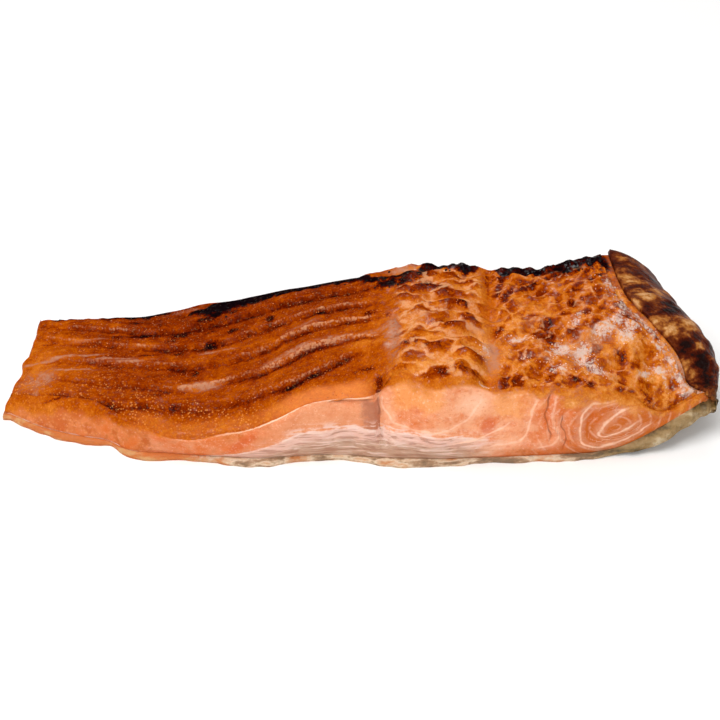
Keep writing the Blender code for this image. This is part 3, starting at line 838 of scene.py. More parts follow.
@dataclass(frozen=True)
class CutFace:
    """Rings, folds and fat lines of a cut face, placed in the plane of X and Z."""

    bulge: Line = (
        (-84, 0.2), (-60, 0.5), (-45, 0.5), (-10, 0.7), (4, 0.2), (8, 1), (17, 1.8), (27, 0.8), (30, 0.5),
        (50, 0.8), (66, 0.4), (74, 0))
    dents: tuple[Oval, ...] = (
        Oval(47, 10, 1.2, 7, 0.7), Oval(62, 9.5, 5.5, 3.4, -0.8), Oval(53, 13, 1.4, 6, 0.5),
        Oval(-2, 16.5, 5, 1.6, 0.8), Oval(-38, 7.6, 12, 1.4, -0.5), Oval(70, 6, 3, 2, -0.5))
    crack: Line = ((4, 21.5), (4.2, 18), (4.4, 14.7), (4.7, 10.5), (4.6, 6.5))
    crack_depth: float = 1.2
    crack_width: float = 0.7
    crack_flank: float = 1.2
    flank_depth: float = 0.7
    flank_width: float = 1.5
    fat_lines: tuple[FaceLine, ...] = (
        FaceLine(((5.2, 20), (4.9, 17.5), (5.9, 14.2), (8, 11.8), (11.5, 10.6), (18.2, 10.9),
                  (22.8, 12.4), (25.5, 15.1), (27.2, 18.5), (27.6, 21)), 0.75),
        FaceLine(((20, 6.2), (25.4, 7.2), (29.9, 8.9), (33.7, 11.3), (35.4, 13)), 0.9),
        FaceLine(
            ((42.5, 22.6), (40.4, 19), (39.2, 15), (38.8, 10.5), (37.6, 7), (34, 5.2), (27, 4.4)), 0.75),
        FaceLine(((46.8, 21.8), (44.4, 18.3), (44.3, 13), (45.6, 8), (44.4, 4.8), (39, 3.4)), 0.6),
        FaceLine(((62, 17), (57, 16.4), (53, 15.6), (51.2, 13.6), (50.6, 10),
                  (51.4, 5.6), (54, 3.2), (59.6, 3.4), (64.4, 6), (69, 9)), 1),
        FaceLine(((66, 13.8), (61, 13.6), (57.4, 11.8), (55.4, 8.8), (55.4, 6.8),
                  (57.4, 6.4), (61.4, 8.2), (65.4, 10.6)), 1),
    )
    # Folds and the crack, painted with shade; the first few are also sunk into the face.
    dark_lines: tuple[FaceLine, ...] = (
        FaceLine(((45.3, 22.4), (42.9, 18.3), (42.7, 13), (44, 8), (43.4, 4.8)), 0.75),
        FaceLine(((46.4, 15), (46.6, 10), (47.7, 6), (46.8, 1.4)), 0.7),
        FaceLine(((-8, 16.9), (-3, 16.6), (1, 17.6), (4.4, 18.6)), 0.8),
        FaceLine(((4, 23), (3.9, 18), (4.5, 14.7), (4.4, 10.5), (4.9, 7.5)), 0.6),
    )
    folds: int = 3
    fold_depth: float = 0.7
    fold_width: float = 0.5
    line_reach: Range = (1.5, 2.1)
    line_end_fade: float = 3.0
    band_top: Line = (
        (-60, 1), (-34, 1.4), (-24, 4), (-14, 8.4), (-2, 9.2), (9, 9), (20, 8.8), (32, 6.4), (46, 4.2),
        (54, 2.4), (60, 1.4))
    roast_drop: Line = (
        (-84, 3.2), (-66, 3.6), (-58, 2.6), (-48, 1), (-40, 0.35), (-6, 0.35), (3, 0.6), (7, 2.4),
        (14, 3.2), (20, 2.2), (25, 1.2), (30, 0.9), (36, 1.3), (42, 2), (46, 4.2), (54, 3.6), (60, 3.8),
        (66, 4.4), (72, 2.2))
    least_drop: float = 0.3
    far_drop: float = 3.5
    ragged_drop: float = 1.5
    ragged_x: Span = (15, 22, 42, 46)
    lip_x: Range = (2, 4.2)
    lip_starts: tuple[Range, ...] = ((-60, -50), (-35, -20))
    lip_shares: tuple[float, ...] = (0.35, 0.65)
    rosy_wing: Oval = Oval(-27, 28.2, 4.8, 2.3)
    rosy_wing_slope: float = 0.8
    rosy_middle: Oval = Oval(29.4, 11, 2.3, 4.4)
    # A painted highlight on the upper corner of the middle block's face.
    corner: Oval = Oval(25.5, 18, 4.2, 4)
    tanned_x: float = 10.5
    tanned_width: float = 6
    tanned_z: Range = (8, 13)
    pale_x: Span = (-30, -10, 34, 44)
    # Where the painted shadow beside the crack lies.
    crack_shadow_x: Span = (-3, 3, 4.3, 5)
    crack_shadow_z: Span = (3, 7, 17, 18.6)
    ring_middle: tuple[float, float] = (59, 9.4)
    ring_stretch: float = 1.35
    ringed_x: Range = (36, 44)
    bandless_x: Range = (22, 36)
    belly_brown_x: Range = (-14, -34)
    belly_clean_x: Range = (-52, -47)
    belly_clean_z: Range = (6, 8.5)
    back_brown_x: Range = (44, 54)
    foot_brown_x: Range = (27, 36)
    foot_brown_z: Range = (2, 6)
    # Where the face is painted with a glow below its top, and towards its dorsal end.
    glow_x: Span = (5, 9, 34, 46)
    glow_depth: Range = (6, 12)
    glow_gap_x: Span = (15, 22, 29, 33)
    end_glow_x: Range = (50, 58)

    def stands_out(self, x: Array, z: Array) -> Array:
        """The folds, rings and crack of the near face.

        Args:
            x: places along X.
            z: places along Z.

        Returns:
            How far the face stands out at each place.
        """
        relief = 0.35 * lumps(x, 0 * x, z, 7.0, 14.0) + 0.05 * lumps(x, 0 * x, z, 1.4, 64.0)
        for dent in self.dents:
            relief -= dent.at(x, z)
        crack, _ = signed_away(x, z, smooth_path(self.crack))
        flank = self.flank_depth * peak(crack - self.crack_flank, self.flank_width)
        relief -= self.crack_depth * peak(crack, self.crack_width) + flank
        for line in self.dark_lines[:self.folds]:
            away, left = signed_away(x, z, smooth_path(line.points))
            shown = ease(left, 0, self.line_end_fade)
            relief -= self.fold_depth * peak(away, self.fold_width) * shown
        return relief

    def lines(self, x: Array, z: Array, which: Sequence[FaceLine]) -> Array:
        """Signed distance to the nearest of several lines, and how strong it is there.

        Args:
            x: places along X.
            z: places along Z.
            which: the lines.

        Returns:
            A row for each place, with the distance, the strength and 0.
        """
        x = x + 0.4 * lumps(x, 0 * x, z, 3.0, 81.0)
        z = z + 0.4 * lumps(x, 0 * x, z, 3.0, 86.0)
        nearest, strength = np.full_like(x, 99.0), np.zeros_like(x)
        for line in which:
            away, left = signed_away(x, z, smooth_path(line.points))
            shown = line.strength * ease(left, 0, self.line_end_fade)
            shown = shown * (1 - ease(np.abs(away), *self.line_reach))
            closer = np.abs(away) < np.abs(nearest)
            nearest = np.where(closer, away, nearest)
            strength = np.where(closer, shown, strength)
        return np.stack((np.clip(nearest, -9, 9), strength, 0 * x), axis=1)

    def below_roast(self, x: Array, z: Array, depth: Array, far: Array) -> Array:
        """How far below the edge of the roast each place lies.

        Args:
            x: places along X.
            z: places along Z.
            depth: how deep they lie below the top.
            far: whether they are on the far half of the portion.

        Returns:
            The distance in widths of the soft edge, negative where the place is still roasted.
        """
        drop = np.maximum(smooth_line(self.roast_drop, x), self.least_drop)
        drop = drop * (1 + 0.35 * lumps(x, 0 * x, z, 3.6, 44.0)) + self.far_drop * far
        ragged = within(x, *self.ragged_x)
        drop = drop + self.ragged_drop * ragged * lumps(x, 0 * x, z, 5.5, 48.0)
        return (depth - drop) / (0.2 + 0.55 * np.maximum(drop, 0) + 0.7 * ragged)

    def lip(self, x: Array) -> Array:
        """How clear the pale lip under the roast is at each X."""
        starts = zip(self.lip_shares, self.lip_starts)
        return (1 - ease(x, *self.lip_x)) * sum(share * ease(x, *start) for share, start in starts)

    def crack_shadow(self, x: Array, z: Array) -> Array:
        """How much each place belongs to the painted shadow beside the crack."""
        return within(x, *self.crack_shadow_x) * within(z, *self.crack_shadow_z)

    def browned(self, x: Array, z: Array) -> Array:
        """The tanned stretches of the face.

        Args:
            x: places along X.
            z: places along Z.

        Returns:
            How brown the face is at each place, at both its ends and at its foot.
        """
        clean = ease(x, *self.belly_clean_x) * (1 - ease(z, *self.belly_clean_z))
        belly = ease(x, *self.belly_brown_x) * (1 - 0.75 * clean)
        foot = ease(x, *self.foot_brown_x) * (1 - ease(z, *self.foot_brown_z))
        return np.maximum(np.maximum(belly, 0.95 * ease(x, *self.back_brown_x)), 0.8 * foot)

    def tints(self, x: Array, z: Array, depth: Array) -> Masks:
        """The masks of the cut face's colours.

        Args:
            x: places along X.
            z: places along Z.
            depth: how deep they lie below the top.

        Returns:
            The masks by name, and the distances to the middle of the rings and to the top of
            the pale layer.
        """
        tanned = peak(x - self.tanned_x, self.tanned_width) * ease(z, *self.tanned_z)
        # Painted glow: the face lighter just below its top.
        glow = within(x, *self.glow_x) * (1 - ease(depth, *self.glow_depth))
        glow = glow * (1 - 0.7 * within(x, *self.glow_gap_x))
        wing = self.rosy_wing.at(x, z - self.rosy_wing_slope * x)
        ring_x, ring_z = self.ring_middle
        return {
            "ending": self.browned(x, z), "rosy": np.maximum(wing, self.rosy_middle.at(x, z)),
            "glow": np.maximum(glow, 0.3 * ease(x, *self.end_glow_x)),
            "corner": self.corner.at(x, z),
            "face_pale": within(x, *self.pale_x) * (1 - 0.5 * tanned),
            "ring_out": np.hypot((x - ring_x) / self.ring_stretch, z - ring_z),
            "ringed": ease(x, *self.ringed_x), "bandless": ease(x, *self.bandless_x),
            "band": smooth_line(self.band_top, x) - z}


class Sock:
    """A shader socket that Python's operators combine with others and with plain numbers."""

    def __init__(self, board: "Board", link: Any) -> None:
        """Wrap a socket of one board."""
        self.board = board
        self.link = link

    def _math(self, operation: str, first: Any, second: Any) -> "Sock":
        """Combine two values with one Math node."""
        made = self.board.add("ShaderNodeMath", {"operation": operation}, {0: first, 1: second})
        return Sock(self.board, made.outputs[0])

    def __add__(self, other: Any) -> "Sock":
        """Sum of two values."""
        return self._math("ADD", self, other)

    __radd__ = __add__

    def __sub__(self, other: Any) -> "Sock":
        """Difference of two values."""
        return self._math("SUBTRACT", self, other)

    def __rsub__(self, other: Any) -> "Sock":
        """A number less this value."""
        return self._math("SUBTRACT", other, self)

    def __mul__(self, other: Any) -> "Sock":
        """Product of two values."""
        return self._math("MULTIPLY", self, other)

    __rmul__ = __mul__

    def most(self, other: Any) -> "Sock":
        """The higher of two values."""
        return self._math("MAXIMUM", self, other)

    def least(self, other: Any) -> "Sock":
        """The lower of two values."""
        return self._math("MINIMUM", self, other)

    def swing(self, half: float) -> "Sock":
        """Triangle wave from 0 to 1 and back, each way over half."""
        return (1 / half) * self._math("PINGPONG", self, half)

    def ridge(self, half: Any) -> "Sock":
        """1 where a signed distance is 0, falling to 0 at half either way."""
        share = self._math("DIVIDE", self, half)
        return (1 - share * share).most(0)

    def between(self, low: float, high: float) -> "Sock":
        """Smooth rise from 0 at low to 1 at high."""
        made = self.board.add("ShaderNodeMapRange", {"interpolation_type": "SMOOTHSTEP"},
                              {"Value": self, "From Min": low, "From Max": high})
        return Sock(self.board, made.outputs["Result"])


Plug = Union[Sock, float, Sequence[float]]
Colour = Union[Sock, Tint]
Grains = dict[str, Sock]


class Board:
    """The nodes of one material."""

    def __init__(self, name: str) -> None:
        """Start a material that holds one Principled surface."""
        self.material = bpy.data.materials.new(name)
        self.material.use_nodes = True
        self.tree = self.material.node_tree
        self.surface = self.tree.nodes["Principled BSDF"]
        self.places = self.add("ShaderNodeTexCoord").outputs["Object"]

    def add(self, kind: str, settings: Optional[dict[str, Any]] = None,
            sockets: Optional[dict[Any, Plug]] = None) -> Node:
        """Add a node.

        Args:
            kind: the node's type.
            settings: properties to set first, and a ramp's stops under "stops".
            sockets: values or links of its inputs, by name or number.

        Returns:
            The node.
        """
        made = self.tree.nodes.new(kind)
        for key, value in (settings or {}).items():
            if key == "stops":
                self._set_stops(made.color_ramp, value)
            else:
                setattr(made, key, value)
        for key, value in (sockets or {}).items():
            self.plug(made.inputs[key], value)
        return made

    @staticmethod
    def _set_stops(ramp: ColorRamp, stops: Stops) -> None:
        """Give a ramp its stops.

        Args:
            ramp: the ramp, with two stops or more.
            stops: the place and the tint of each.
        """
        while len(ramp.elements) < len(stops):
            ramp.elements.new(1)
        for element, (place, tint) in zip(ramp.elements, stops):
            element.position = place
            element.color = shade(tint)

    def plug(self, socket: NodeSocket, value: Plug) -> None:
        """Link a socket, or set its value.

        Args:
            socket: the input to fill.
            value: a socket to link it with, or a plain value.
        """
        if isinstance(value, Sock):
            value = value.link
        if isinstance(value, NodeSocket):
            self.tree.links.new(value, socket)
        else:
            socket.default_value = value

    def kept(self, name: str) -> Sock:
        """A number kept at each corner of the mesh."""
        return Sock(self, self.add("ShaderNodeAttribute", {"attribute_name": name}).outputs["Fac"])

    def vector(self, name: str) -> Any:
        """A vector kept at each corner of the mesh."""
        return self.add("ShaderNodeAttribute", {"attribute_name": name}).outputs["Vector"]

    def pair(self, name: str) -> tuple[Sock, Sock]:
        """The first two numbers of a vector kept at each corner of the mesh."""
        split = self.add("ShaderNodeSeparateXYZ", None, {0: self.vector(name)})
        return Sock(self, split.outputs[0]), Sock(self, split.outputs[1])

    def worn(self, name: str, uneven: Sock, low: float, high: float) -> Sock:
        """A mask kept on the mesh, broken up by a noise round 0, and 1 where it reaches high."""
        return (self.kept(name) * (1 + uneven)).between(low, high)

    def drifting(self, name: str, uneven: Sock, low: float, high: float) -> Sock:
        """A mask kept on the mesh, with an edge that strays by a noise round 0."""
        return (self.kept(name) + uneven).between(low, high)

    def _laid(self, size: float, stretch: Sequence[float], turn: float = 0.0,
              vector: Any = None) -> NodeSocket:
        """Lay a pattern of the given size over the object, or over another vector."""
        return self.add("ShaderNodeMapping", {"vector_type": "TEXTURE"}, {
            "Vector": vector or self.places, "Rotation": (0, 0, math.radians(turn)),
            "Scale": [size * part for part in stretch]}).outputs[0]

    def noise(self, size: float, detail: float = 3.0, stretch: Sequence[float] = (1, 1, 1),
              turn: float = 0.0, vector: Any = None, unit: float = MM) -> Sock:
        """Noise from 0 to 1.

        Args:
            size: size of a lump.
            detail: how many finer layers it has.
            stretch: how far it is stretched along X, Y and Z.
            turn: degrees that it is turned about Z.
            vector: what it is laid over, or None for the object's own coordinates.
            unit: length of one unit of size in that vector.

        Returns:
            The noise.
        """
        laid = self._laid(size * unit, stretch, turn, vector)
        made = self.add("ShaderNodeTexNoise", None, {
            "Vector": laid, "Scale": 1.0, "Detail": detail, "Roughness": 0.55})
        return Sock(self, made.outputs["Fac"])

    def cell(self, size: float, stretch: Sequence[float] = (1, 1, 1)) -> Sock:
        """Distance to the nearest point of a cell pattern, in cells."""
        made = self.add("ShaderNodeTexVoronoi", {"feature": "F1"}, {
            "Vector": self._laid(size * MM, stretch), "Scale": 1.0})
        return Sock(self, made.outputs["Distance"])

    def mix(self, factor: Plug, first: Colour, second: Colour) -> Sock:
        """Blend two colours.

        Args:
            factor: share of the second, from 0 to 1.
            first: a socket or a tint.
            second: another.

        Returns:
            The blend.
        """
        first, second = (shade(side) if isinstance(side, tuple) else side
                         for side in (first, second))
        made = self.add("ShaderNodeMix", {"data_type": "RGBA"}, {0: factor, 6: first, 7: second})
        return Sock(self, made.outputs[2])

    def cover(self, colour: Sock, *tints: tuple[Sock, Colour]) -> Sock:
        """Lay tints over a colour.

        Args:
            colour: the colour below them.
            tints: each tint with the share of it that shows, from the lowest to the highest.

        Returns:
            The colour with its tints.
        """
        for share, tint in tints:
            colour = self.mix(share, colour, tint)
        return colour

    def ramp(self, factor: Sock, stops: Stops) -> Sock:
        """Colour picked from a ramp."""
        made = self.add("ShaderNodeValToRGB", {"stops": stops}, {0: factor})
        return Sock(self, made.outputs["Color"])

    def bump(self, height: Sock, depth: float, strength: float = 1.0) -> None:
        """Give the surface a fine relief, depth in millimetres from 0 to 1 of the height."""
        made = self.add("ShaderNodeBump", None, {
            "Height": height, "Distance": depth * MM, "Strength": strength})
        self.plug(self.surface.inputs["Normal"], made.outputs["Normal"])

    def finish(self, **sockets: Plug) -> Material:
        """Set the surface's inputs.

        Args:
            sockets: their values, named with underscores for spaces.

        Returns:
            The material.
        """
        for key, value in sockets.items():
            self.plug(self.surface.inputs[key.replace("_", " ")], value)
        return self.material


def shade(tint: Tint) -> tuple[float, float, float, float]:
    """Turn a screen colour into a linear one.

    Args:
        tint: its red, green and blue from 0 to 255.

    Returns:
        The linear colour, opaque.
    """
    linear = []
    for part in tint:
        part = part / 255
        linear.append(part / 12.92 if part <= 0.04045 else ((part + 0.055) / 1.055) ** 2.4)
    return (*linear, 1.0)


@dataclass(frozen=True)
class FleshFinish:
    """Finish of the roasted flesh, from pale cut faces to char."""

    roast: Stops = (
        (0.0, (248, 198, 150)), (0.16, (238, 174, 116)), (0.30, (220, 142, 68)),
        (0.44, (200, 110, 28)), (0.56, (173, 77, 2)), (0.68, (132, 42, 0)), (0.80, (80, 12, 0)),
        (0.92, (36, 7, 6)), (1.0, (14, 4, 7)))
    face_warm: Tint = (216, 110, 52)
    face_light: Tint = (237, 164, 122)
    face_end: Tint = (190, 102, 42)
    face_red: Tint = (186, 74, 28)
    face_lip: Tint = (222, 146, 104)
    face_ring: Tint = (204, 94, 22)
    face_rose: Tint = (210, 94, 46)
    # Colour of the painted glints and glow on the face.
    face_highlight: Tint = (238, 156, 84)
    face_deep: Tint = (196, 92, 48)
    # Colour of the painted shadow beside the crack.
    crack_shadow: Tint = (158, 96, 76)
    fat: Tint = (252, 206, 176)
    band: Tint = (186, 152, 130)
    band_light: Tint = (224, 182, 166)
    band_pale: Tint = (242, 210, 196)
    band_deep: Tint = (146, 100, 82)
    curd: Tint = (218, 191, 176)
    membrane: Tint = (214, 148, 104)
    speck: Tint = (220, 138, 82)
    # Colour of the painted glints.
    glint: Tint = (236, 152, 74)
    # Colour of the painted glow along the belly's near edge.
    glow: Tint = (234, 136, 76)
    tile_edge: Tint = (238, 172, 120)
    film: Tint = (186, 129, 99)
    # Colour of the painted shade in the folds and the crack.
    crack: Tint = (128, 62, 36)
    level_shift: float = 0.012
    level_grains: Sequence[tuple[str, float]] = (
        ("middle", 0.26), ("fibre", 0.12), ("coarse", 0.18), ("fine", 0.26), ("tiny", 0.24))
    # The tiles' backs are darkened here as painted shade.
    level_masks: Sequence[tuple[str, float]] = (
        ("dark", 0.10), ("tile_back", 0.16), ("pale", -0.20), ("tile_edge", -0.07))

    def roast_level(self, board: Board, grains: Grains, rough: Sock) -> Sock:
        """How roasted the top is, before its char and dark spots.

        Args:
            board: the material's nodes.
            grains: noises of several sizes.
            rough: a noise round 0.

        Returns:
            The level, from about 0 to 1.
        """
        level = board.kept("level") + self.level_shift
        for name, weight in self.level_grains:
            level += weight * (grains[name] - 0.5)
        for name, weight in self.level_masks:
            level += weight * board.kept(name)
        tile, chance = board.kept("tile"), board.kept("tile_chance")
        level += 0.34 * board.kept("knobbly") * (board.noise(1.5, 2) - 0.5)
        # Painted shade: darker in the hollows before the flake fronts.
        level += 0.19 * board.kept("crevice") * (1 + rough)
        level += 0.31 * tile * (chance - 0.35).most(0)
        level += 0.08 * (tile + 0.8 * rough).between(0.40, 0.70)
        level -= 0.16 * (0.2 * board.kept("depth")).least(1)
        blotched = 0.5 * grains["coarse"] + 0.7 * grains["middle"] - 0.58
        return level + board.kept("roasted_rim") * blotched

    def top_colour(self, board: Board, grains: Grains) -> Sock:
        """Colour of the roasted top.

        Args:
            board: the material's nodes.
            grains: noises of several sizes.

        Returns:
            The colour.
        """
        drift, grit, thread, dust = (grains[name] - 0.5
                                     for name in ("middle", "fine", "fibre", "tiny"))
        rough = 1.5 * grit + 1.4 * drift
        charred = board.drifting("char", 0.5 * drift + 0.5 * grit, 0.28, 0.85)
        clean = 1 - charred
        spotted = board.worn("dark", rough + 2.0 * dust, 0.25, 0.75)
        level = self.roast_level(board, grains, rough) + 0.38 * charred + 0.15 * spotted
        # Painted glow along the belly's near edge.
        glowing = board.drifting("glowing_edge", 0.6 * drift, 0.1, 1.0)
        specks = (0.5 * grains["fine"] + 0.5 * grains["tiny"]).between(0.56, 0.68)
        across = board.noise(0.5, 2, (1, 6, 1)) - 0.5
        skinned = board.worn("membrane", 1.2 * rough + thread + 2.8 * across, 0.32, 1.1)
        filmed = board.worn("film", 1.5 * rough + 1.2 * thread, 0.2, 1.0)
        return board.cover(
            board.ramp(level, self.roast),
            (0.5 * glowing, self.glow),
            (0.38 * specks * clean * (1 - glowing), self.speck),
            # Painted glints.
            (0.55 * grains["glints"] * grains["coarse"].between(0.4, 0.56), self.glint),
            (0.6 * clean * board.worn("tile_edge", 1.6 * rough, 0.4, 1.2), self.tile_edge),
            (0.75 * clean * skinned, self.membrane),
            (0.76 * clean * filmed, self.film),
            (0.84 * board.worn("curd", 1.8 * rough + 1.6 * dust, 0.26, 0.86), self.curd))

    def tissue(self, board: Board, grains: Grains) -> Sock:
        """Colour of a cut face, before its pale layer and its lines.

        Args:
            board: the material's nodes.
            grains: noises of several sizes.

        Returns:
            The colour.
        """
        middle, coarse = grains["middle"], grains["coarse"]
        drift, ringed = middle - 0.5, board.kept("ringed")
        light = (0.6 * coarse + 0.4 * middle).between(0.36, 0.66)
        pale = board.kept("face_pale") * (0.4 * coarse + 0.6 * middle).between(0.28, 0.54)
        lipped = board.kept("lip") * (1 - board.kept("ending"))
        ending = board.drifting("ending", 1.2 * drift, 0.1, 0.9)
        patched = (0.4 * coarse + 0.6 * middle).between(0.42, 0.58)
        patched = (0.36 + 0.5 * patched + 0.5 * ringed).least(0.95)
        redder = ending * (0.5 * coarse + 0.5 * middle).between(0.5, 0.62)
        grainy = 0.6 * grains["fine"] + 0.5 * grains["tiny"] + 0.3 * grains["fibre"]
        shadow_wander = 0.8 * drift + 0.6 * (grains["fine"] - 0.5)
        arcs = (board.kept("ring_out") + 0.7 * drift).swing(0.9).between(0.6, 1)
        return board.cover(
            board.mix(light.most(pale), self.face_warm, self.face_light),
            (0.7 * lipped, self.face_lip),
            (ending * patched, self.face_end),
            (0.4 * redder, self.face_red),
            (0.3 * ringed, self.face_ring),
            # Painted glints on the face.
            (0.6 * grains["glints"] * coarse.between(0.42, 0.6), self.face_highlight),
            (0.72 * board.drifting("rosy", 0.8 * drift, 0.3, 0.9), self.face_rose),
            # Painted glow on the face.
            (0.6 * board.drifting("glow", 1.4 * drift, 0.3, 0.9), self.face_highlight),
            # Painted highlight on that corner of the face.
            (0.42 * board.drifting("corner", 0.8 * drift, 0.2, 1.0), self.fat),
            ((0.55 - 0.3 * ending) * grainy.between(0.72, 0.98), self.fat),
            (0.45 * grainy.between(0.68, 0.42), self.face_deep),
            # Painted shadow beside the crack, which the film mask carries on the cut faces.
            (0.7 * board.drifting("film", shadow_wander, 0.3, 1.0), self.crack_shadow),
            (0.3 * arcs * ringed * middle.between(0.36, 0.6), self.fat))

    def banded(self, board: Board, grains: Grains, face: Sock) -> Sock:
        """Lay the pale layer above the skin over a cut face.

        Args:
            board: the material's nodes.
            grains: noises of several sizes.
            face: the face's colour.

        Returns:
            The colour with that layer.
        """
        middle, striped = grains["middle"], board.noise(0.7, 3, (16, 1, 1))
        band, bandless = board.kept("band"), board.kept("bandless")
        hazed = (band + 3.6).between(0, 3.2) * board.kept("face_pale") * (1 - bandless)
        hazed = hazed * (0.6 * striped + 0.4 * middle).between(0.46, 0.6)
        below = band + 1.6 * (striped - 0.5) + 1.2 * (middle - 0.5)
        layer = board.cover(board.mix(below.between(1.6, 4.6), self.band_light, self.band),
                            (0.6 * striped.between(0.5, 0.66), self.band_pale),
                            (0.55 * (1 - striped).between(0.52, 0.62), self.band_deep))
        top_line = (band + 0.8 * (middle - 0.5)).ridge(0.35)
        share = 0.9 - 0.85 * bandless
        return board.cover(face, (0.85 * hazed, self.band_pale),
                           (share * below.between(-0.6, 0.6), layer),
                           (share * top_line * grains["broken"], self.band_pale))

    def lined(self, board: Board, grains: Grains, face: Sock) -> Sock:
        """Draw the fat lines, the pale lip, and the painted shade in the folds and the crack, on a cut
        face.

        Args:
            board: the material's nodes.
            grains: noises of several sizes.
            face: the face's colour.

        Returns:
            The colour with those lines.
        """
        middle, broken = grains["middle"], grains["broken"]
        fat, fat_strength = board.pair("fat_line")
        fold, fold_strength = board.pair("dark_line")
        line = 0.62 * fat.ridge(0.2 + 0.4 * middle) + 0.24 * fat.ridge(1.8)
        lip = board.kept("depth") - 0.4 + 0.7 * (grains["fine"] - 0.5) + 0.4 * (middle - 0.5)
        lip = lip.ridge(0.12 + 0.32 * middle.between(0.4, 0.6)) * board.kept("lip")
        return board.cover(
            face, ((line * fat_strength * (0.5 + 0.5 * broken)).least(1), self.fat),
            ((lip * (0.3 + broken)).least(1), self.fat),
            # Painted shade in the folds and the crack.
            (fold.ridge(0.26) * fold_strength * (0.3 + 0.6 * broken), self.crack))

    def material(self) -> Material:
        """Build the material.

        Returns:
            The material.
        """
        board = Board("roasted_flesh")
        middle, fine, bubbles = board.noise(2.4, 3), board.noise(0.8, 3), 1 - board.cell(0.8)
        sparkly = board.kept("sparkly")
        grains = {"coarse": board.noise(8, 2), "middle": middle, "fine": fine,
                  "fibre": board.noise(1.0, 2, (7, 1, 1)), "tiny": board.noise(0.36, 2),
                  "broken": (0.7 * middle + 0.5 * fine).between(0.3, 0.75),
                  # Painted glints where the surface is sparkly.
                  "glints": bubbles.between(0.62, 0.86) * sparkly}
        cut = board.drifting("cut", 1.6 * (middle - 0.5) + 0.6 * (fine - 0.5), -0.5, 0.7)
        face = self.lined(board, grains, self.banded(board, grains, self.tissue(board, grains)))
        colour = board.mix(cut, self.top_colour(board, grains), face)
        bubbles = bubbles * (0.4 * grains["coarse"].between(0.46, 0.62)).most(sparkly)
        grain = 0.5 * fine + 0.3 * grains["fibre"] + 0.4 * grains["tiny"] + 0.5 * bubbles
        board.bump(grain, 0.24, 0.9)
        rough = 0.5 + 0.2 * (middle - 0.5) + 0.1 * board.kept("curd")
        wet = (0.7 * fine + 0.6 * board.noise(3.0, 3)).between(0.64, 0.8) * 0.8
        wet = wet * (0.08 + 0.92 * board.kept("wetness"))
        return board.finish(Base_Color=colour, Roughness=rough, Coat_Weight=wet,
                            Coat_Roughness=0.16, Specular_IOR_Level=0.0, Subsurface_Weight=0.15,
                            Subsurface_Radius=(1.0, 0.4, 0.2), Subsurface_Scale=0.0007)


@dataclass(frozen=True)
class SkinFinish:
    """Finish of the skin: spotted olive back, pink side and silvery belly, roasted at the end."""

    olive: Tint = (118, 92, 50)
    silver: Tint = (196, 182, 156)
    pink: Tint = (190, 132, 104)
    spot: Tint = (42, 34, 28)
    cream: Tint = (208, 154, 102)
    roast: Stops = (
        (0.27, (208, 154, 102)), (0.36, (176, 112, 50)), (0.43, (144, 78, 30)),
        (0.49, (104, 44, 12)), (0.57, (72, 18, 2)), (0.70, (24, 5, 3)))
    edge_left: Tint = (200, 114, 60)
    edge: Stops = (
        (0.36, (134, 108, 84)), (0.44, (170, 134, 104)), (0.52, (222, 196, 168)),
        (0.60, (206, 160, 124)), (0.68, (196, 126, 78)))
    strip: Stops = (
        (0.34, (98, 84, 62)), (0.46, (146, 118, 78)), (0.58, (168, 140, 100)), (0.70, (206, 186, 154)))

    def material(self) -> Material:
        """Build the material.

        Returns:
            The material.
        """
        board = Board("roasted_skin")
        back = board.kept("back")
        middle, fine = board.noise(3.0, 3), board.noise(0.8, 3)
        spotted = 1 - board.cell(4.4) + 0.5 * (middle - 0.5) + 0.3 * (fine - 0.5)
        spots = 0.85 * spotted.between(0.70, 0.82) * back.between(0.2, 0.7)
        raw = board.cover(board.mix(back, self.silver, self.olive),
                          (0.6 * board.kept("side"), self.pink), (spots, self.spot))

        around = board.vector("nose_map")
        streaks = board.noise(1.5, 4, (2.2, 1, 1), 25, around, 1.0)
        patches = board.noise(4.2, 3, (1.4, 1, 1), 25, around, 1.0)
        roast = 0.66 * streaks + 0.30 * patches + 0.20 * board.kept("char")
        roast += 0.26 * (fine - 0.5) - 0.25 * board.kept("gold")
        roast += 0.06 - 0.06 * board.kept("rim")

        flecks = board.noise(3.4, 3, (2, 1, 1)) + 0.16 * (fine - 0.5)
        strip = board.ramp(flecks + 0.08 * board.kept("strip_end"), self.strip)
        lower = board.mix(board.kept("strip"), board.ramp(flecks, self.edge), strip)
        left = board.mix(flecks.between(0.5, 0.66), self.edge_left, self.cream)
        rim = board.mix(board.drifting("rim_left", 1.2 * (fine - 0.5), 0.2, 0.8), lower, left)
        colour = board.cover(raw, (board.kept("nose"), board.ramp(roast, self.roast)),
                             (board.kept("edge"), rim))

        scales = board.cell(1.15, (1, 0.8, 1))
        board.bump(0.4 * scales + 0.8 * fine + 1.0 * streaks, 0.4, 1.0)
        rough = 0.42 + 0.2 * (middle - 0.5)
        wet = 0.3 * (0.6 * streaks + 0.4 * fine).between(0.52, 0.66)
        return board.finish(Base_Color=colour, Roughness=rough, Coat_Weight=wet,
                            Coat_Roughness=0.12, Specular_IOR_Level=0.05, Subsurface_Weight=0.06,
                            Subsurface_Radius=(1.0, 0.5, 0.25), Subsurface_Scale=0.001)


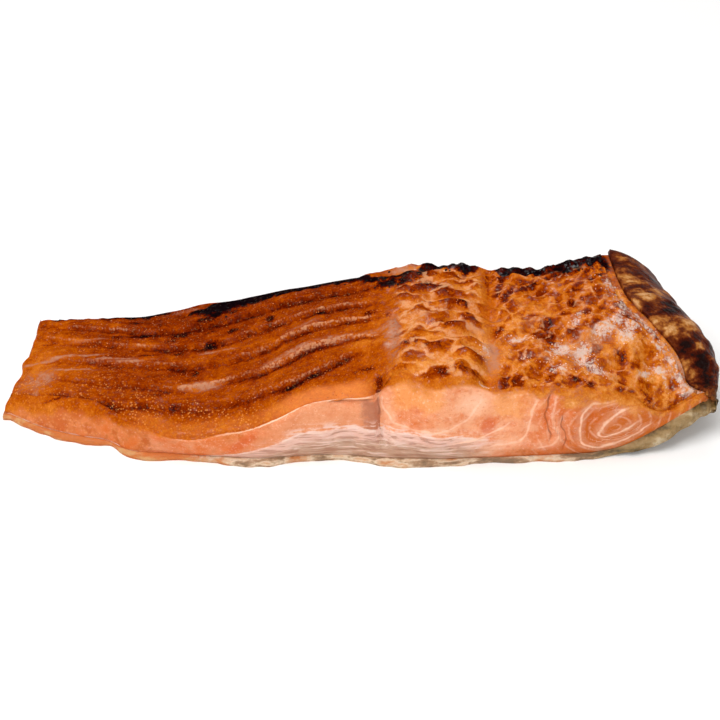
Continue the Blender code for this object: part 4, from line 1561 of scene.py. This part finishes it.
@dataclass(frozen=True)
class BeadFinish:
    """Finish of the small things on the top: one colour with a fine variation.

    Args:
        name: the material's name.
        light: lighter colour.
        deep: deeper colour.
        roughness: roughness of the surface.
        coat: weight of its wet coat.
        specular: strength of its plain reflection.
    """

    name: str
    light: Tint
    deep: Tint
    roughness: float
    coat: float
    specular: float = 0.5

    def material(self) -> Material:
        """Build the material.

        Returns:
            The material.
        """
        board = Board(self.name)
        colour = board.mix(board.noise(2.0, 2).between(0.35, 0.65), self.light, self.deep)
        return board.finish(Base_Color=colour, Roughness=self.roughness, Coat_Weight=self.coat,
                            Coat_Roughness=0.06, Specular_IOR_Level=self.specular)


def box_of_quads(counts: tuple[int, int, int]) -> bmesh.types.BMesh:
    """A closed cube from -1 to 1 whose sides are grids.

    Args:
        counts: quads along X, Y and Z.

    Returns:
        The cube.
    """
    along_x, along_y, along_z = counts
    quarter = math.pi / 2
    sides = (
        (along_x, along_y, Matrix.Identity(4)),
        (along_x, along_y, Matrix.Rotation(math.pi, 4, "X")),
        (along_z, along_y, Matrix.Rotation(quarter, 4, "Y")),
        (along_z, along_y, Matrix.Rotation(-quarter, 4, "Y")),
        (along_x, along_z, Matrix.Rotation(quarter, 4, "X")),
        (along_x, along_z, Matrix.Rotation(-quarter, 4, "X")),
    )
    bm = bmesh.new()
    for across, up, turn in sides:
        bmesh.ops.create_grid(bm, x_segments=across, y_segments=up, size=1,
                              matrix=turn @ Matrix.Translation((0, 0, 1)))
    bmesh.ops.remove_doubles(bm, verts=bm.verts, dist=1e-5)
    return bm


def read_points(mesh: Mesh) -> Array:
    """A mesh's points as three rows."""
    flat = np.empty(len(mesh.vertices) * 3)
    mesh.vertices.foreach_get("co", flat)
    return flat.reshape(-1, 3).T


def write_points(mesh: Mesh, points: Sequence[Array]) -> None:
    """Move a mesh's points to the given places in millimetres."""
    mesh.vertices.foreach_set("co", (np.stack(points, axis=1) * MM).ravel())
    mesh.update()


def keep_numbers(mesh: Mesh, numbers: Masks) -> None:
    """Keep numbers and vectors at a mesh's points, for its material.

    Args:
        mesh: the mesh.
        numbers: a number, or a row of three, for each point, by name.
    """
    for name, values in numbers.items():
        if values.ndim == 1:
            kept = mesh.attributes.new(name, "FLOAT", "POINT")
            kept.data.foreach_set("value", np.clip(values, -99, 99).astype(np.float32))
        else:
            kept = mesh.attributes.new(name, "FLOAT_VECTOR", "POINT")
            kept.data.foreach_set("vector", values.astype(np.float32).ravel())


def add_piece(name: str, mesh: Mesh, material: Material) -> Object:
    """Put a mesh in the scene as a smooth shaded piece.

    Args:
        name: the piece's name.
        mesh: its mesh.
        material: its material.

    Returns:
        The piece.
    """
    mesh.materials.clear()
    mesh.materials.append(material)
    mesh.shade_smooth()
    piece = bpy.data.objects.new(name, mesh)
    bpy.context.scene.collection.objects.link(piece)
    return piece


@dataclass
class Flesh:
    """The roasted flesh as one closed mesh."""

    form: PortionForm = field(default_factory=PortionForm)
    top: RoastedTop = field(default_factory=RoastedTop)
    face: CutFace = field(default_factory=CutFace)
    finish: FleshFinish = field(default_factory=FleshFinish)
    counts: tuple[int, int, int] = (360, 116, 48)
    face_fade: float = 6
    edge_round: float = 2.4
    edge_pull: float = 0.7
    far_bulge: float = 0.4
    far_bulge_limit: float = 0.9
    rim_rise: float = 0.45
    far_share: float = 0.4
    far_rough: float = 0.5
    end_wave: float = 0.7
    top_margin: Range = (0, 1.5)
    rim_curd: float = 0.46
    rim_curd_depth: Range = (1.0, 2.0)
    rim_curd_y: Range = (11, 16)
    rim_film: float = 0.38
    oily_char: Range = (0.05, 0.3)
    crumbs_end_v: float = 0.985

    def pull(self, distance: Array) -> Array:
        """How far an edge is pulled in, at a distance from that edge."""
        return self.edge_pull * np.clip(1 - distance / self.edge_round, 0, 1) ** 2

    def points(self, u: Array, v: Array, w: Array) -> tuple[list[Array], Masks]:
        """The surface, and the numbers that its material reads.

        Args:
            u: places along u.
            v: places along v.
            w: places along w.

        Returns:
            X, Y and Z of every corner, and the numbers by name.
        """
        form, side = self.form, self.form.on_side
        (x, y, z), height = form.flesh_body(u, v, w)
        on_top, on_near, on_far, on_end = w > 1 - side, v < side, v > 1 - side, u < side
        from_dorsal = form.length * (1 - u)
        above_skin = ease(w, 0, 0.2)
        belly = 4 * w * (1 - w)
        ends = ease(from_dorsal, 0, self.face_fade)

        stands_out = np.zeros_like(x)
        sides = on_near | on_far
        stands_out[sides] = self.face.stands_out(x[sides], z[sides]) * above_skin[sides]
        out = smooth_line(self.face.bulge, x) * belly + stands_out
        y = y - np.where(on_near, out * ends, 0)
        rough = self.far_rough * lumps(x, 0 * x, z, 9.0, 21.0) * above_skin
        out = (self.far_bulge * belly + rough + self.far_share * stands_out) * ends
        out = np.minimum(out, self.far_bulge_limit)
        y = y + np.where(on_far, out, 0)
        wave = self.end_wave * lumps(0 * x, y, z, 4.5, 30.0) * above_skin
        x = x - np.where(on_end, wave, 0)

        top = self.top.relief(x, y)
        calm = ends * ease(form.length * u, 0, self.face_fade / 2)
        z = z + np.where(on_top, top["height"] * calm, 0)
        rim = (on_top | (u > 1 - side)) * (1 - ease(from_dorsal, 0.5, self.face_fade))
        z = z + np.where(on_top, self.rim_rise * rim * lumps(x, y, z, 1.5, 23.0), 0)
        top = top | {"rim": rim}

        from_top = height * (1 - w)
        pull = np.where(on_top | on_near, self.pull(form.width * v + from_top), 0)
        y, z = y + pull, z - pull
        pull = np.where(on_top | on_far, self.pull(form.width * (1 - v) + from_top), 0)
        y, z = y - pull, z - pull
        numbers = self.numbers((x, y, z), v, from_top, on_top, on_near | on_far | on_end, top)
        return [x, y, z], numbers

    def numbers(self, places: Places, v: Array, from_top: Array, on_top: Array,
                on_cut: Array, top: Masks) -> Masks:
        """The numbers that the material reads.

        Args:
            places: X, Y and Z of every corner.
            v: places along v.
            from_top: how far every corner lies below the top.
            on_top: whether it is on the top.
            on_cut: whether it is on a cut face or on the belly end.
            top: the masks of the top's relief.

        Returns:
            The numbers by name.
        """
        x, y, z = places
        face, rim, lift = self.face, top["rim"], self.top.char_lift
        roasting = self.top.roasting(x, y)
        depth = np.where(on_top, 0, from_top)
        from_near = self.form.width * v
        from_edge = np.minimum(from_near, self.form.width * (1 - v))
        cut = face.below_roast(x, z, depth, v > 0.5)
        cut = cut - np.where(on_top, 3 * ease(from_edge, *self.top_margin), 0)
        edge_band = self.top.edge_band(x, from_near)
        rim_curd = self.rim_curd * rim * (1 - ease(depth, *self.rim_curd_depth))
        rim_curd = rim_curd * (1 - ease(y, *self.rim_curd_y))
        # On the cut faces the film mask carries the painted shadow beside the crack.
        film = np.where(on_top, roasting["film"], face.crack_shadow(x, z))
        numbers = {name: np.where(on_top, mask, 0) for name, mask in top.items()
                   if name not in ("height", "rim")}
        for name, lines in (("fat_line", face.fat_lines), ("dark_line", face.dark_lines)):
            numbers[name] = np.zeros((len(x), 3))
            numbers[name][on_cut] = face.lines(x[on_cut], z[on_cut], lines)
        numbers |= face.tints(x, z, depth)
        numbers |= self.top.shine(x, from_near, on_top, roasting["dark"])
        return numbers | {
            "level": roasting["level"] + self.top.edge_band_level * edge_band,
            "glowing_edge": edge_band * (0.35 + 0.65 * ease(x, *self.top.edge_glow_x)),
            "knobbly": ease(x, *self.top.knobbly_x),
            "char": roasting["char"] * (1 - ease(depth, lift, 3 * lift)),
            "dark": roasting["dark"], "pale": roasting["pale"],
            "film": film * (1 - rim) + self.rim_film * rim, "roasted_rim": rim,
            "curd": np.maximum(np.where(on_top, roasting["curd"], 0), rim_curd),
            "depth": depth, "cut": cut, "lip": face.lip(x) * (v < 0.5),
            "oily": np.where(on_top, 1 - ease(roasting["char"], *self.oily_char), 0),
            "crumbs": np.where(on_top & (v < self.crumbs_end_v), roasting["char"], 0)}

    def level_underside(self, mesh: Mesh) -> None:
        """Merge the quads of the flat underside, which need no detail, into few faces.

        Args:
            mesh: the flesh's mesh.
        """
        bm = bmesh.new()
        bm.from_mesh(mesh)
        level = {face for face in bm.faces
                 if all(abs(corner.co.z - self.form.flesh_inset * MM) < 1e-7
                        for corner in face.verts)}
        inner = [face for face in level
                 if all(other in level for edge in face.edges for other in edge.link_faces)]
        merged = bmesh.ops.dissolve_faces(bm, faces=inner, use_verts=False)["region"]
        bmesh.ops.triangulate(bm, faces=merged)
        bm.to_mesh(mesh)
        bm.free()

    def build(self) -> Object:
        """Build the flesh and dress it.

        Returns:
            The piece.
        """
        bm = box_of_quads(self.counts)
        mesh = bpy.data.meshes.new("roasted_flesh")
        bm.to_mesh(mesh)
        bm.free()
        u, v, w = (read_points(mesh) + 1) / 2
        points, numbers = self.points(u, v, w)
        write_points(mesh, points)
        keep_numbers(mesh, numbers)
        self.level_underside(mesh)
        piece = add_piece("roasted_flesh", mesh, self.finish.material())
        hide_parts("flesh")
        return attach(piece, "root")


@dataclass
class Skin:
    """The skin under the flesh, turned up round the back of the fish."""

    form: PortionForm = field(default_factory=PortionForm)
    finish: SkinFinish = field(default_factory=SkinFinish)
    base_rows: int = 200
    nose_rows: int = 70
    columns: int = 96
    overhang: Line = (
        (-84, 0.8), (-62, 1.0), (-58, 0.4), (-54, 1.3), (-36, 0.9), (-24, 1.8), (-13, 0.6), (-3, 0.5),
        (6, 1.6), (17, 1.7), (26, 0.8), (45, 1.1), (58, 1.0), (66, 1.8), (84, 2.0))
    dip: Line = ((58, 0), (62, 1.0), (66, 2.6), (70, 3.4), (75, 3.2), (84, 2.6))
    far_overhang: float = 0.9
    belly_overhang: float = 1.0
    wave: float = 0.35
    blister: float = 0.45
    near_drop: float = 0.18
    nose_arc: float = 28
    nose_spread: float = 12 / 11
    near_lip: Range = (0.5, 3)
    side_middle: float = 12
    side_width: float = 22
    edge_top: float = 9
    soot_places: Rows = (
        (75.6, -4.9, 20.4, 2.6), (79.6, -6.4, 17.6, 2.6), (80.8, -9.4, 14.8, 2.4), (67.9, 4.6, 25.0, 1.4),
        (60.0, 19.0, 27.6, 3.0), (74.0, 8.0, 22.0, 2.0), (72.8, 4.4, 23.6, 1.7), (78.6, 0.0, 19.6, 1.5))
    gold_places: Rows = (
        (78.1, 2.9, 20.9, 2.8), (72.7, -0.7, 22.9, 2.2), (68.0, 8.0, 25.2, 2.2), (64.5, 14.3, 26.1, 2.0),
        (64.9, 5.0, 25.2, 1.4), (75.7, -7.7, 18.3, 1.5), (78.7, 5.8, 19.7, 1.9), (79.9, -2.4, 19.1, 1.4),
        (71.0, 12.5, 23.8, 2.0), (81.1, -12.8, 12.6, 1.6), (69.1, -0.3, 23.5, 1.5))

    @staticmethod
    def blobs(places: Places, middles: Rows) -> Array:
        """Read several round blobs.

        Args:
            places: X, Y and Z of the places.
            middles: X, Y, Z and radius of each blob.

        Returns:
            The strength of the strongest at each place.
        """
        x, y, z = places
        found = np.zeros_like(x)
        for mx, my, mz, radius in middles:
            away = ((x - mx) ** 2 + (y - my) ** 2 + (z - mz) ** 2) / radius**2
            found = np.maximum(found, np.exp(-away))
        return found

    def points(self, row: Array, column: Array) -> tuple[list[Array], Masks]:
        """The outside of the skin, and the numbers that its material reads.

        Args:
            row: rows of the grid, from the belly end to the rim round the back.
            column: its columns, from one before the near cut to one past the far cut.

        Returns:
            X, Y and Z of every corner, and the numbers by name.
        """
        form = self.form
        v = np.clip(column / self.columns, 0, 1)
        u = np.clip(row / self.base_rows, 0, 1)
        w = np.clip((row - self.base_rows) / (self.nose_rows * self.nose_spread), 0, 1)
        w = w * (1 - self.near_drop * (1 - ease(v, 0, 0.15)))
        base = form.base_point(u, v, form.skin_thick)
        on_nose = row > self.base_rows + 0.5
        swell = lumps(9 * w, form.width * v / 2.2, 0 * v, 1.5, 61.0) + 0.5 * lumps(
            self.nose_arc * w, form.width * v / 1.6, 0 * v, 1.3, 67.0)
        swell = self.blister * np.clip(swell, 0, 1) * within(w, 0.1, 0.3, 0.9, 1)
        nose = form.nose_point(v, w, form.skin_thick - swell)
        x, y, z = (np.where(on_nose, n, b) for n, b in zip(nose, base))

        past_near, past_far = column < -0.5, column > self.columns + 0.5
        past_belly = row < 0.5
        wave = self.wave * lumps(x, y, z, 3.4, 40.0)
        below_rim = 1 - ease(w, 0.35, 0.85)
        overhang = (smooth_line(self.overhang, x) + wave) * below_rim + 0.2
        y = y - np.where(past_near, overhang, 0) + np.where(past_far, self.far_overhang, 0)
        z = z - np.where(past_near, smooth_line(self.dip, x) * below_rim, 0)
        x = x - np.where(past_belly, self.belly_overhang + wave, 0)
        lower = np.maximum(past_near | past_far | past_belly,
                           1 - ease(form.width * v, *self.near_lip))
        return [x, y, z], {
            "back": ease(x, 20, 60), "side": peak(x - self.side_middle, self.side_width),
            "nose": ease(z + lumps(x, y, z, 3.0, 43.0), 9, 13) * on_nose,
            "edge": lower * (z < self.edge_top), "rim_left": 1 - ease(x, -44, -30),
            "strip": ease(x, 50, 60), "strip_end": ease(x, 74, 79),
            "char": self.blobs((x, y, z), self.soot_places),
            "gold": self.blobs((x, y, z), self.gold_places),
            "rim": ease(w, 0.74, 0.92) * on_nose,
            "nose_map": np.stack((self.nose_arc * (1 - w), form.width * v, 0 * v), axis=1)}

    def build(self) -> Object:
        """Build the skin and dress it.

        Returns:
            The piece.
        """
        rows, columns = self.base_rows + self.nose_rows, self.columns + 2
        bm = bmesh.new()
        bmesh.ops.create_grid(bm, x_segments=rows, y_segments=columns, size=1)
        mesh = bpy.data.meshes.new("roasted_skin")
        bm.to_mesh(mesh)
        bm.free()
        s, t, _ = read_points(mesh)
        points, numbers = self.points((s + 1) / 2 * rows, (t + 1) / 2 * columns - 1)
        write_points(mesh, points)
        keep_numbers(mesh, numbers)
        piece = add_piece("roasted_skin", mesh, self.finish.material())
        shell = piece.modifiers.new("thickness", "SOLIDIFY")
        shell.thickness = self.form.skin_thick * MM
        shell.offset = -1
        shell.use_even_offset = True
        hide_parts("skin")
        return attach(piece, "root")


@dataclass(frozen=True)
class Scatter:
    """Small things strewn over the flesh by Geometry Nodes.

    Args:
        name: the piece's name.
        mask: name of the number that says where they lie.
        density: how many lie on a square metre where the mask is 1.
        smallest: smallest size, in millimetres.
        largest: largest size, in millimetres.
        flatness: height of one over its width.
        seed: fixes where they lie.
        finish: what they look like.
    """

    name: str
    mask: str
    density: float
    smallest: float
    largest: float
    flatness: float
    seed: int
    finish: BeadFinish

    def tree(self) -> NodeTree:
        """Build the Geometry Nodes tree, with its sizes as named inputs.

        Returns:
            The tree.
        """
        tree = bpy.data.node_groups.new(self.name, "GeometryNodeTree")
        for label, way, kind in (
                ("Geometry", "INPUT", "Geometry"), ("Density", "INPUT", "Float"),
                ("Smallest", "INPUT", "Float"), ("Largest", "INPUT", "Float"),
                ("Flatness", "INPUT", "Float"), ("Seed", "INPUT", "Int"),
                ("Geometry", "OUTPUT", "Geometry")):
            tree.interface.new_socket(label, in_out=way, socket_type=f"NodeSocket{kind}")
        kinds = dict(
            given="NodeGroupInput", made="NodeGroupOutput",
            where="GeometryNodeInputNamedAttribute", amount="ShaderNodeMath",
            strew="GeometryNodeDistributePointsOnFaces", bead="GeometryNodeMeshIcoSphere",
            flat="ShaderNodeCombineXYZ", squash="GeometryNodeTransform",
            size="FunctionNodeRandomValue", place="GeometryNodeInstanceOnPoints",
            real="GeometryNodeRealizeInstances", smooth="GeometryNodeSetShadeSmooth",
            dress="GeometryNodeSetMaterial")
        nodes = {name: tree.nodes.new(kind) for name, kind in kinds.items()}
        nodes["where"].data_type = "FLOAT"
        nodes["amount"].operation = "MULTIPLY"
        for name, socket, value in (
                ("where", "Name", self.mask), ("bead", "Radius", 0.5),
                ("bead", "Subdivisions", 2), ("flat", "X", 1), ("flat", "Y", 1),
                ("dress", "Material", self.finish.material())):
            nodes[name].inputs[socket].default_value = value
        for source, output, target, socket in (
                ("given", "Geometry", "strew", "Mesh"), ("given", "Density", "amount", 0),
                ("where", "Attribute", "amount", 1), ("amount", 0, "strew", "Density"),
                ("given", "Seed", "strew", "Seed"), ("given", "Flatness", "flat", "Z"),
                ("bead", "Mesh", "squash", "Geometry"), ("flat", 0, "squash", "Scale"),
                ("given", "Smallest", "size", 2), ("given", "Largest", "size", 3),
                ("given", "Seed", "size", "Seed"), ("strew", "Points", "place", "Points"),
                ("strew", "Rotation", "place", "Rotation"),
                ("squash", "Geometry", "place", "Instance"), ("size", 1, "place", "Scale"),
                ("place", "Instances", "real", "Geometry"),
                ("real", "Geometry", "smooth", "Geometry"),
                ("smooth", "Geometry", "dress", "Geometry"),
                ("dress", "Geometry", "made", "Geometry")):
            tree.links.new(nodes[source].outputs[output], nodes[target].inputs[socket])
        return tree

    def build(self, ground: Object) -> Object:
        """Strew the things over a piece, as one plain mesh.

        Args:
            ground: the piece that they lie on.

        Returns:
            The new piece.
        """
        piece = bpy.data.objects.new(self.name, ground.data.copy())
        bpy.context.scene.collection.objects.link(piece)
        strewn = piece.modifiers.new("strewn", "NODES")
        strewn.node_group = self.tree()
        given = {"Density": self.density, "Smallest": self.smallest * MM,
                 "Largest": self.largest * MM, "Flatness": self.flatness, "Seed": self.seed}
        for socket in strewn.node_group.interface.items_tree:
            if socket.in_out == "INPUT" and socket.name in given:
                strewn[socket.identifier] = given[socket.name]
        bpy.context.view_layer.update()
        ready = piece.evaluated_get(bpy.context.evaluated_depsgraph_get())
        mesh = bpy.data.meshes.new_from_object(ready)
        piece.modifiers.remove(strewn)
        piece.data = mesh
        mesh.name = self.name
        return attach(piece, "root")


@dataclass(frozen=True)
class Studio:
    """Floor, light and camera."""

    target: Place = (0, 1.8, 11)
    distance: float = 420
    elevation: float = 40
    lens: float = 87.55
    sensor: float = 36
    nearest: float = 10
    floor_size: float = 3000
    floor_colour: Tint = (251, 250, 249)
    room_light: float = 0.36
    lamps: Sequence[tuple[str, Place, float, float]] = (
        ("key", (-260, -160, 640), 520, 4.1), ("front", (240, -620, 400), 620, 1.9),
        ("back", (60, 520, 560), 360, 1.0))

    def floor(self) -> None:
        """Lay the plain pale floor."""
        bpy.ops.mesh.primitive_plane_add(size=self.floor_size * MM)
        plane = bpy.context.object
        plane.name = "floor"
        board = Board("pale_floor")
        plane.data.materials.append(board.finish(Base_Color=shade(self.floor_colour),
                                                 Roughness=0.9))

    def lights(self) -> None:
        """Hang the soft square lights, which look at the portion."""
        for name, place, side, watts in self.lamps:
            lamp = bpy.data.lights.new(name, "AREA")
            lamp.size = side * MM
            lamp.energy = watts
            hung = bpy.data.objects.new(name, lamp)
            hung.location = Vector(place) * MM
            hung.rotation_euler = (-hung.location).to_track_quat("-Z", "Y").to_euler()
            bpy.context.scene.collection.objects.link(hung)

    def camera(self) -> None:
        """Set the camera at the photograph's viewing angle."""
        seen = bpy.data.cameras.new("view")
        seen.lens = self.lens
        seen.sensor_width = self.sensor
        seen.clip_start = self.nearest * MM
        rise = math.radians(self.elevation)
        back = Vector((0, -math.cos(rise), math.sin(rise)))
        eye = bpy.data.objects.new("view", seen)
        eye.location = (Vector(self.target) + back * self.distance) * MM
        eye.rotation_euler = (math.pi / 2 - rise, 0, 0)
        bpy.context.scene.collection.objects.link(eye)
        bpy.context.scene.camera = eye

    def build(self) -> None:
        """Build the whole studio."""
        self.floor()
        self.lights()
        world = bpy.data.worlds.new("room")
        world.use_nodes = True
        ground = world.node_tree.nodes["Background"]
        ground.inputs["Color"].default_value = (1, 1, 1, 1)
        ground.inputs["Strength"].default_value = self.room_light
        bpy.context.scene.world = world
        bpy.context.scene.view_settings.view_transform = "Standard"
        self.camera()


def scatters() -> tuple[Scatter, ...]:
    """Everything strewn over the roasted top.

    Returns:
        The oil, the curds and the soot.
    """
    oil = BeadFinish("oil_beads", (214, 118, 44), (188, 84, 18), 0.12, 0.7)
    curds = BeadFinish("curd_flecks", (232, 186, 160), (214, 150, 112), 0.45, 0.3)
    soot = BeadFinish("char_crumbs", (34, 14, 10), (16, 7, 8), 0.7, 0.0, 0.15)
    return (
        Scatter("oil_beads", "oily", 3.2e5, 0.12, 0.34, 0.4, 11, oil),
        Scatter("curd_flecks", "curd", 1.6e6, 0.14, 0.42, 0.3, 23, curds),
        Scatter("char_crumbs", "crumbs", 3.0e5, 0.22, 0.7, 0.4, 31, soot),
    )


def main() -> None:
    """Build every piece, and report each."""
    logging.basicConfig(level=logging.INFO, format="%(name)s: %(message)s")
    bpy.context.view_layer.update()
    Studio().build()
    flesh = Flesh().build()
    pieces = [flesh, Skin().build()]
    pieces += [scatter.build(flesh) for scatter in scatters()]
    for piece in pieces:
        log.info("%s: %d faces", piece.name, len(piece.data.polygons))


if __name__ == "__main__":
    main()
